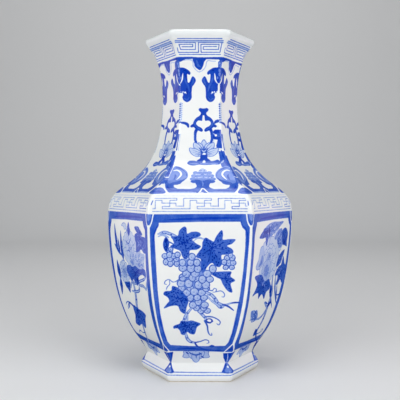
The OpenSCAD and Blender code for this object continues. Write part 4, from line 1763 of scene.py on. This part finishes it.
@dataclass(frozen=True)
class PeonyBranch(Picture):
    """Peonies leaning in from one side, with sprays of buds."""

    def paint(self, wall: Painting, flip: int = 1) -> None:
        """Paints the wood, then the flowers, then the leaves.

        Args:
            wall: the wall's painting.
            flip: -1 for the mirror image.
        """
        b = Brush(wall, flip=flip)
        self.wood(b)
        self.flowers(b)
        self.foliage(b)

    def wood(self, b: Brush) -> None:
        """The trunk, its side twigs and the fine shoots.

        Args:
            b: the brush.
        """
        self.twig(b, [(3, 92, 3.4), (5.4, 82, 4), (4.6, 72, 4.6), (1.4, 62, 4.2), (2, 46, 3.4),
            (-1.6, 32, 3), (-7, 18, 2.2)], 0.35)
        self.twig(b, [(36, 97, 2), (31, 94.6, 3), (22, 92, 3), (12, 88.6, 3.4), (5, 88, 2.4)], 0.35)
        self.twig(b, [(34, 84.6, 2), (28.6, 87.6, 3), (22, 87.4, 2.8), (16, 89.6, 2)], 0.35)
        self.twig(b, [(37, 94, 1), (36, 88, 2), (33, 84.4, 1.6)], 0.35)
        self.twig(b, [(18, 88, 2), (16.4, 81.6, 3), (8, 79.2, 3), (-2.4, 78.6, 1.4)], 0.35)
        self.twig(b, [(4, 90, 2), (-1.6, 86, 2.6), (-3.4, 82, 1.6)], 0.35)
        b.line(MID, [(1.6, 60, 1.4), (-8, 61.4, 1.6), (-16, 64, 1.4), (-24, 63, 1.2), (-28.4, 59.6, 0.8)])
        b.line(MID, [(-15, 63.6, 0.8), (-20, 58.6, 1.6), (-25.6, 55, 0.7)])
        b.line(MID, [(-0.6, 31.6, 1.2), (-8, 29.6, 1.2), (-14, 31.2, 1.6), (-18.4, 27.6, 0.8)])
        self.knots(b, [(4.8, 80, 1.2), (4.4, 70, 1.3), (1.8, 60, 1.1), (1.2, 48, 1.1), (30, 94, 1),
            (12, 88.6, 0.9), (16.6, 83, 0.8)])
        b.line(MID, [(-11, 108, 1.6), (-17, 115, 2), (-25, 119.6, 1.6), (-30.4, 126, 1.2), (-32, 140, 0.8)])
        b.line(MID, [(-17, 115, 1.4), (-18.4, 126, 1.4), (-16.6, 138, 0.8)])
        spray = ((-26.4, 118, 11, 31, 6.4), (-15, 114, 3, 28, 6), (-18, 115, 56, 20, 5),
                 (-21, 116, 10, 17, 4.6), (-13, 112, -6, 14, 4))
        for x, s, turn, long, wide in spray:
            self.blade(b, x, s, turn, long, wide, Leaf.FADED)
            for share in (0.36, 0.6, 0.8):
                lean = math.radians(turn)
                b.disc(INK, x - share * long * math.sin(lean), s + share * long * math.cos(lean), 0.9, 1.6)

    def flowers(self, b: Brush) -> None:
        """Two full flowers and a half-open one.

        Args:
            b: the brush.
        """
        self.petals(b, 18, 116, 8, 14, 13, 14)
        self.petals(b, -15, 97.5, 7, 12.4, 11.4, 30)
        self.petals(b, -14.6, 98, 5, 6.4, 6, 0, PALE)
        self.petals(b, 5, 124.6, 9, 18, 15, 8)
        self.petals(b, 5.4, 124, 6, 9.6, 9, 30)
        for n in range(16):
            turn, away = 2.4 * n, 2.2 + 0.62 * n
            b.disc(INK if n % 3 else DEEP, -15 + away * math.cos(turn), 97.6 + away * math.sin(turn), 0.7)
        b.line(MID, [(-4, 132, 0.6), (2, 129, 1.4), (6, 131.4, 1.2), (10, 136, 0.5)])
        b.line(MID, [(-3, 121, 0.5), (3, 121.8, 1.3), (8, 118.6, 1.2), (12, 120, 0.5)])
        for x, s in ((5.4, 124), (-14.6, 98)):
            for n in range(7):
                turn = 2.4 * n
                b.disc(DEEP, x + 0.75 * math.sqrt(n) * math.cos(turn),
                    s + 0.75 * math.sqrt(n) * math.sin(turn), 0.45)

    def foliage(self, b: Brush) -> None:
        """Dark leaves below the flowers, and paler ones behind them. The two at the upper right are paler
        partly as a painted reflection of a lamp in the glaze.

        Args:
            b: the brush.
        """
        curl = [(-13.6, 147), (-9.6, 149.6), (-4.4, 149.8), (-1.4, 147), (-0.6, 142.4), (-3, 144.2),
            (-6, 143.4), (-8.4, 146.4)]
        b.patch(FAINT, curl)
        b.line(MID, curl, 0.6, closed=True)
        self.blade(b, 4.6, 137, 2, 14.4, 8.4, Leaf.FADED)
        # The two leaves at the upper right are paler partly from their own wash and partly as a painted
        # reflection of a lamp in the glaze over them.
        self.leaf(b, (34, 141), [(19, 147), (24, 148), (29, 147.6), (34, 144), (37.6, 140.4), (33, 139.4),
            (27, 141), (22, 143.4)], [(19.6, 146.8), (27, 147.6)], Leaf.FADED)
        self.leaf(b, (40, 134), [(19, 138.4), (26, 141.4), (36, 138.6), (43.4, 137.4), (44, 130),
            (43.6, 123.4), (38.6, 122), (33, 125.4), (26.4, 122.4), (20.4, 121.4), (21.6, 130)],
            [(20, 138), (21, 122), (27, 140), (42.6, 124), (29, 124)], Leaf.FADED)
        self.leaf(b, (11, 108), [(3, 118), (7, 121.8), (13.4, 120.6), (16, 114), (14, 106), (6, 105.4),
            (2, 111)], [(4, 118), (12.6, 120), (3.4, 111)], Leaf.THIN)
        self.leaf(b, (24, 107), [(14.6, 115), (19, 120.6), (27, 122), (34, 121.4), (40, 120.4), (37.4, 112),
            (35.4, 104.6), (24, 104), (14, 106)], [(17, 118.6), (27, 121.4), (38.6, 119.6), (35, 110)],
            Leaf.THIN)
        self.leaf(b, (14, 100), [(-8, 103.4), (-1, 106.8), (8, 105.4), (15, 107.2), (24, 104.8), (37, 105.6),
            (37.6, 97.6), (30, 99.4), (22.6, 97.4), (17.6, 94), (12, 89.4), (9, 88.2), (6.4, 92),
            (0.6, 89.6), (-3.6, 94.4), (-7, 97.6)], [(-7, 103), (4, 105.6), (24, 104), (37, 98.6),
            (20, 95.6), (9, 89.4), (0, 91)])
        self.blade(b, 18, 97, 158, 12, 7)
        self.blade(b, -27.6, 88, 12, 21.6, 9)
        self.blade(b, -27.6, 90, 170, 20, 7.6)
        self.leaf(b, (-5, 86.6), [(-4, 88), (-10, 87.4), (-18.4, 86), (-16, 81), (-12.6, 79.4), (-8, 75.8),
            (-5.6, 80)], [(-17.4, 85.4), (-8.6, 77), (-14, 81)])
        self.leaf(b, (-2, 58), [(-9, 62), (-2, 60.6), (6, 59.6), (13, 58.4), (18.6, 55.4), (14.6, 50.4),
            (11, 44), (8, 39.4), (4.4, 38), (1, 41.4), (-4, 40.4), (-9.6, 37.6), (-16.8, 39.4), (-14, 45),
            (-10.6, 50.6), (-10.4, 57)], [(17.6, 55.4), (5, 39), (-9, 38.6), (-15.6, 40.4), (12, 46)])
        b.line(DEEP, [(-4, 61, 2.4), (-10, 61, 2), (-16, 63.6, 1.8), (-21, 60.6, 1.3), (-25, 57, 0.5)])


@dataclass(frozen=True)
class PeonyStem(Picture):
    """A tall peony on a forked stem."""

    def paint(self, wall: Painting, flip: int = 1) -> None:
        """Paints the stems, then the flowers, then the leaves.

        Args:
            wall: the wall's painting.
            flip: -1 for the mirror image.
        """
        b = Brush(wall, flip=flip)
        self.wood(b)
        self.flowers(b)
        self.foliage(b)

    def wood(self, b: Brush) -> None:
        """The stems and shoots.

        Args:
            b: the brush.
        """
        self.twig(b, [(9, 96, 2.4), (10.6, 84, 3.4), (14, 74, 4.2), (11.6, 60, 4.4), (10, 46, 4.2),
            (5.4, 34, 4), (3, 28, 3)], 0.3)
        self.twig(b, [(17, 92, 2), (19.6, 82, 2.8), (25, 72, 2.6), (31, 66, 1.6)], 0.3)
        self.twig(b, [(-8, 48.6, 2), (0, 49, 2.8), (7, 53.6, 2.8), (11, 60, 2.4)], 0.3)
        self.twig(b, [(0, 66, 1.6), (5, 62.6, 2.4), (11, 58.6, 2.2)], 0.3)
        for x, s, dx, ds in ((4, 88, 10, -14), (16, 90, 8, -20), (24, 84, 8, -22), (12, 74, 13, -18),
                (1, 67, 9, -4), (22, 76, 16, -20)):
            b.line(MID, [(x, s, 0.6), (x + 0.4 * dx, s + 0.5 * ds, 2.2), (x + dx, s + ds, 0.5)])
        b.line(DEEP, [(26, 71, 1), (34, 69.8, 1.6), (39, 71.6, 0.8)])
        b.line(DEEP, [(4, 32, 2.6), (8, 27.6, 2.6), (14, 21, 2.2), (19, 17.6, 2), (25, 13.6, 1.4)])
        b.line(MID, [(6, 29.4, 1.4), (12, 27.4, 1.3), (18.6, 28, 1.4), (22, 30, 1.1), (19.4, 31.6, 0.8),
            (16.4, 30.6, 0.5)])
        self.knots(b, [(11.4, 82, 1.1), (13.4, 72, 1.2), (11.4, 60, 1.2), (9.6, 46, 1.2), (6, 36, 1.1),
            (20, 81, 0.9), (2, 49.6, 0.9)])

    def flowers(self, b: Brush) -> None:
        """One great open flower, one behind it, and a bud.

        Args:
            b: the brush.
        """
        self.petals(b, 13, 130, 7, 13, 12.4, 10)
        self.leaf(b, (14, 127), [(4, 133), (8, 138.6), (14, 142), (22, 143.6), (25, 138), (24.4, 124.6),
            (16, 123), (9, 126)], [(6, 134), (14, 141), (23, 141), (23.6, 127)], Leaf.WASHED)
        self.petals(b, -5, 113, 9, 24, 19, 16)
        self.petals(b, -4, 113, 8, 16, 12, 0)
        self.petals(b, -6, 116, 6, 8.6, 8, 20)
        self.petals(b, -9.4, 101, 7, 12, 9.6, 24, PALE)
        self.petals(b, -9.4, 101.4, 5, 6, 5, 0, SOFT)
        drooping = [(-28.6, 126), (-22, 127.4), (-19, 118), (-19.6, 110.4), (-25, 106), (-32, 104.6),
                    (-36, 108), (-31.6, 115)]
        b.patch(PALE, drooping)
        b.line(MID, drooping, 0.6, closed=True)
        b.patch(SOFT, [(-24, 119), (-20.4, 116), (-20.8, 110.6), (-26, 107.4), (-30, 107.6), (-27, 113)])
        b.line(MID, [(-26.4, 115, 0.5), (-24, 111.4, 2), (-28, 108, 0.6)])
        for x, s in ((-9.4, 101.4), (-6, 116)):
            for n in range(9):
                turn = 2.4 * n
                b.disc(DEEP, x + 0.75 * math.sqrt(n) * math.cos(turn),
                    s + 0.75 * math.sqrt(n) * math.sin(turn), 0.45)

    def foliage(self, b: Brush) -> None:
        """Dark leaves round the flowers, and a paler one by the bud.

        Args:
            b: the brush.
        """
        self.leaf(b, (-10, 142), [(-19, 146.6), (-9, 150), (2, 151.4), (14, 151), (27, 150.6), (18, 146),
            (8, 141.4), (-2, 137.4), (-9, 136.2), (-8, 141), (-13, 144)], [(-2, 150), (12, 150), (25, 150),
            (6, 141.6), (-7, 137.4)], Leaf.WASHED)
        self.blade(b, -14.4, 142, 176, 15, 7, Leaf.FADED)
        self.blade(b, -10.4, 144.6, 110, 24, 10)
        self.blade(b, -9.6, 147.4, 178, 12, 5.6)
        self.leaf(b, (31, 125.6), [(24, 140.6), (31, 143.8), (37, 141.4), (39.6, 136), (37.6, 128.6),
            (38.4, 123), (32, 124.8), (25.4, 126.4), (23.8, 133)], [(25, 140), (31, 142.6), (38.4, 136),
            (25.4, 132)])
        self.leaf(b, (-12, 86), [(6, 81), (0.6, 91.6), (-10, 90.6), (-20, 98.4), (-35.6, 98), (-28, 90),
            (-30, 84), (-34.6, 78), (-26, 79.6), (-21.6, 79), (-19, 73), (-12, 77), (-4, 70.6),
            (-1.6, 77.6)], [(5, 82), (-18, 97), (-34, 97.6), (-33, 79), (-18.6, 74), (-5, 72)])
        for x, s, r in ((-14, 88, 1.8), (-11, 90.4, 1.4), (-9, 86, 1.2)):
            b.disc(SOFT, x, s, r)
        self.leaf(b, (30, 96), [(20.6, 83.6), (22.6, 91), (16.6, 99), (27, 103), (31.6, 113), (37, 104.6),
            (45, 98.4), (39.6, 91), (36.6, 83), (30.6, 87.4), (25.6, 82.6)], [(21, 85), (17.6, 99),
            (31.6, 111.6), (43.6, 98), (36, 84.6), (26, 84)])
        self.blade(b, 15, 103, -46, 25, 11, Leaf.FADED)
        self.blade(b, 14, 94, -66, 26, 9, Leaf.FADED)
        self.blade(b, 8, 84, 196, 15, 7)
        self.blade(b, -8.4, 49, 62, 24, 14, Leaf.WASHED)
        for x0, s0, x1, s1 in ((-10, 51, -25, 58), (-12, 54, -22, 61), (-10, 49, -27, 51),
                (-16, 52, -20, 58)):
            b.line(MID, [(x0, s0, 0.6), (0.5 * (x0 + x1), 0.5 * (s0 + s1) + 0.8, 1.7), (x1, s1, 0.5)])
        self.blade(b, 7, 26.6, 44, 12, 9)
        self.blade(b, 9, 60, -62, 11, 6)


@dataclass(frozen=True)
class FootPattern:
    """Two ruled lines round the foot, and a dart on each arris."""

    def paint(self, wall: Painting) -> None:
        """Paints the side.

        Args:
            wall: the wall's painting.
        """
        b = Brush(wall)
        b.rule(SOFT, [(-60, 12.2, 1.1), (-10, 11.2, 1.1), (22, 11, 1), (60, 11.4, 1)])
        b.rule(SOFT, [(-60, 8.8, 0.9), (-10, 8.3, 1), (60, 8.3, 1)])
        for way in (-1, 1):
            e = Brush(wall.from_arris(way), x=-2)
            e.patch(MID, [(-7.4, 10.8), (-3.4, 16.6), (-0.5, 22.4), (0.5, 22.4), (3.4, 16.8), (7, 10.8)])
            e.patch(SOFT, [(-3.6, 11.6), (-2, 15.6), (0.2, 17.4), (2.4, 15), (3.6, 11.8)])
            e.rule(DEEP, [(-6.4, 11.8, 1.4), (-3, 16.8, 1.5), (0, 22, 1.6), (3.1, 16.6, 1.2),
                (6.2, 12, 1.6)])
            e.disc(None, 0.3, 17, 1.2)


# ---------------------------------------------------------------- studio


@dataclass
class Studio:
    """The camera, the lamps and the floor.

    Attributes:
        distance: from the camera to the vase's axis.
        eye: the camera's height.
        tilt: how far the camera looks down, in degrees.
        lens: the focal length.
        sensor: the width of the camera's sensor.
        strip_reach: from the axis to each strip lamp, in metres.
        strip_glare: what a strip lamp gives for its area, in watts a square metre.
    """

    distance: float = 740.0
    eye: float = 201.6
    tilt: float = 1.2735
    lens: float = 60.73
    sensor: float = 36.0
    strip_reach: float = 1.08
    strip_glare: float = 2.1

    def camera(self) -> None:
        """Sets up the camera in front of the vase."""
        data = bpy.data.cameras.new("camera")
        data.lens, data.sensor_width = self.lens, self.sensor
        data.clip_start, data.clip_end = 0.05, 20.0
        made = bpy.data.objects.new("camera", data)
        made.location = (0, -self.distance * MM, self.eye * MM)
        made.rotation_euler = (math.radians(90 - self.tilt), 0, 0)
        bpy.context.scene.collection.objects.link(made)
        bpy.context.scene.camera = made

    def lamp(self, name: str, place: Triple, aim: Triple, size: tuple[float, float], power: float,
             colour: Triple = (1.0, 1.0, 1.0)) -> None:
        """Adds a soft box.

        Args:
            name: its name.
            place: where it stands, in metres.
            aim: the point it faces.
            size: width and height.
            power: watts.
            colour: its light.
        """
        data = bpy.data.lights.new(name, "AREA")
        data.shape, data.size, data.size_y = "RECTANGLE", *size
        data.energy, data.color = power, colour
        made = bpy.data.objects.new(name, data)
        made.location = place
        way = np.array(aim) - np.array(place)
        made.rotation_mode = "QUATERNION"
        made.rotation_quaternion = Vector(way).to_track_quat("-Z", "Y")
        bpy.context.scene.collection.objects.link(made)

    def floor(self) -> None:
        """A wide pale floor that curves up into a backdrop: a quarter circle between two planes."""
        turn = np.linspace(0, math.pi / 2, 25)
        y = np.concatenate([[-2.5], 1.6 + 0.8 * np.sin(turn), [2.4]])
        z = np.concatenate([[0.0], 0.8 - 0.8 * np.cos(turn), [3.5]])
        x = np.linspace(-4, 4, 3)
        points = np.stack(np.broadcast_arrays(x[None, :], y[:, None], z[:, None]), -1).reshape(-1, 3)
        faces = grid_faces(len(y), len(x))
        made = Shell(points, faces, np.ones(len(faces), bool)).build("floor")
        t = Tree("floor_paper")
        tint = t.noise(300.0, 2.0) * 0.004 + 0.82
        colour = t.node("ShaderNodeCombineColor", {}, {0: tint, 1: tint, 2: tint})[0]
        made.data.materials.append(
            t.finish(t.node("ShaderNodeBsdfPrincipled", {}, {"Base Color": colour, "Roughness": 0.7})[0])
        )
        made.visible_glossy = False

    def sky(self) -> None:
        """Even, dim light from above the horizon, and next to none from below it."""
        world = bpy.data.worlds.new("studio")
        bpy.context.scene.world = world
        world.use_nodes = True
        back = world.node_tree.nodes["Background"]
        back.inputs["Color"].default_value = (0.9, 0.94, 1.0, 1.0)
        nodes, links = world.node_tree.nodes, world.node_tree.links
        split = nodes.new("ShaderNodeSeparateXYZ")
        links.new(nodes.new("ShaderNodeTexCoord").outputs["Generated"], split.inputs[0])
        rise = nodes.new("ShaderNodeMapRange")
        for socket, value in zip(("From Min", "From Max", "To Min", "To Max"), (-0.1, 0.1, 0.01, 0.16)):
            rise.inputs[socket].default_value = value
        links.new(split.outputs["Z"], rise.inputs["Value"])
        links.new(rise.outputs[0], back.inputs["Strength"])

    def set_up(self) -> None:
        """Builds the whole studio."""
        bpy.context.scene.view_settings.view_transform = "Standard"
        self.camera()
        self.floor()
        self.sky()
        self.lamp("key_left", (-0.75, -1.15, 0.85), (0, 0, 0.2), (0.6, 0.7), 6.8)
        self.lamp("key_right", (0.75, -1.15, 0.85), (0, 0, 0.2), (0.6, 0.7), 6.8)
        self.lamp("backdrop", (0, 0.75, 1.9), (0, 2.3, 0.4), (2.4, 0.4), 13.0)
        self.lamp("fill_left", (-1.15, -0.55, 0.4), (0, 0, 0.18), (0.5, 0.9), 4.6, (0.94, 1.0, 0.97))
        self.lamp("fill_right", (1.15, -0.55, 0.4), (0, 0, 0.18), (0.5, 0.9), 4.2)
        self.lamp("top", (0, -0.25, 1.4), (0, 0, 0.2), (0.7, 0.7), 4.0)
        tall, level = 0.8, 0.2
        for name, turn, wide in (("strip_left", 150.5, 0.13), ("strip_right", 31.2, 0.064)):
            away = math.radians(turn)
            place = (self.strip_reach * math.cos(away), self.strip_reach * math.sin(away), level)
            power = self.strip_glare * wide * tall
            self.lamp(name, place, (0, 0, level), (wide, tall), power, (1.0, 0.72, 0.95))


def main() -> None:
    """Builds the studio and every piece of the vase, in order."""
    Studio().set_up()
    painted = PaintedGlaze().make()
    clear = ClearGlaze().make()
    slip = GlazedSlip().make()
    foot_glaze = PaintedGlaze(name="foot_glaze", biscuit=1.3).make()
    belly = Wall("belly", BELLY, Columns(196))
    neck = Wall("neck", NECK, Columns(140))
    belly_inner = BELLY.inner(WALL)[0]
    heel = FOOT.trace()[0][0] - RIM_W
    foot_inner = np.array([[heel, 0.0], [heel - 1.0, 0.6 * WAIST_H], belly_inner])
    foot = Wall("foot", FOOT, Columns(110), inside=foot_inner)
    foot_paint = foot.painting()
    FootPattern().paint(foot_paint)
    pictures = {
        Side.FRONT: (GrapeVine(), 1),
        Side.FRONT_RIGHT: (PeonyStem(), 1),
        Side.BACK_RIGHT: (PeonyBranch(), -1),
        Side.BACK: (GrapeVine(), -1),
        Side.BACK_LEFT: (PeonyStem(), -1),
        Side.FRONT_LEFT: (PeonyBranch(), 1),
    }
    for side, (picture, flip) in pictures.items():
        paint = belly.painting()
        seams = tuple(STRAYS.get(Side((side.value + n) % len(Side)), USUAL_STRAY) for n in (0, 1))
        BellyFrame(seams, BOWS.get(side, USUAL_BOW)).paint(paint)
        picture.paint(paint, flip)
        belly.make(side, paint, painted)
        neck_paint = neck.painting()
        NeckPattern(crossed=side is Side.FRONT_LEFT).paint(neck_paint)
        neck.make(side, neck_paint, painted)
        foot.make(side, foot_paint, foot_glaze)
    Rim().make(clear)
    for name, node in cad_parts.items():
        node.data.materials.clear()
        node.data.materials.append(slip if "slip" in name else clear)


if __name__ == "__main__":
    main()
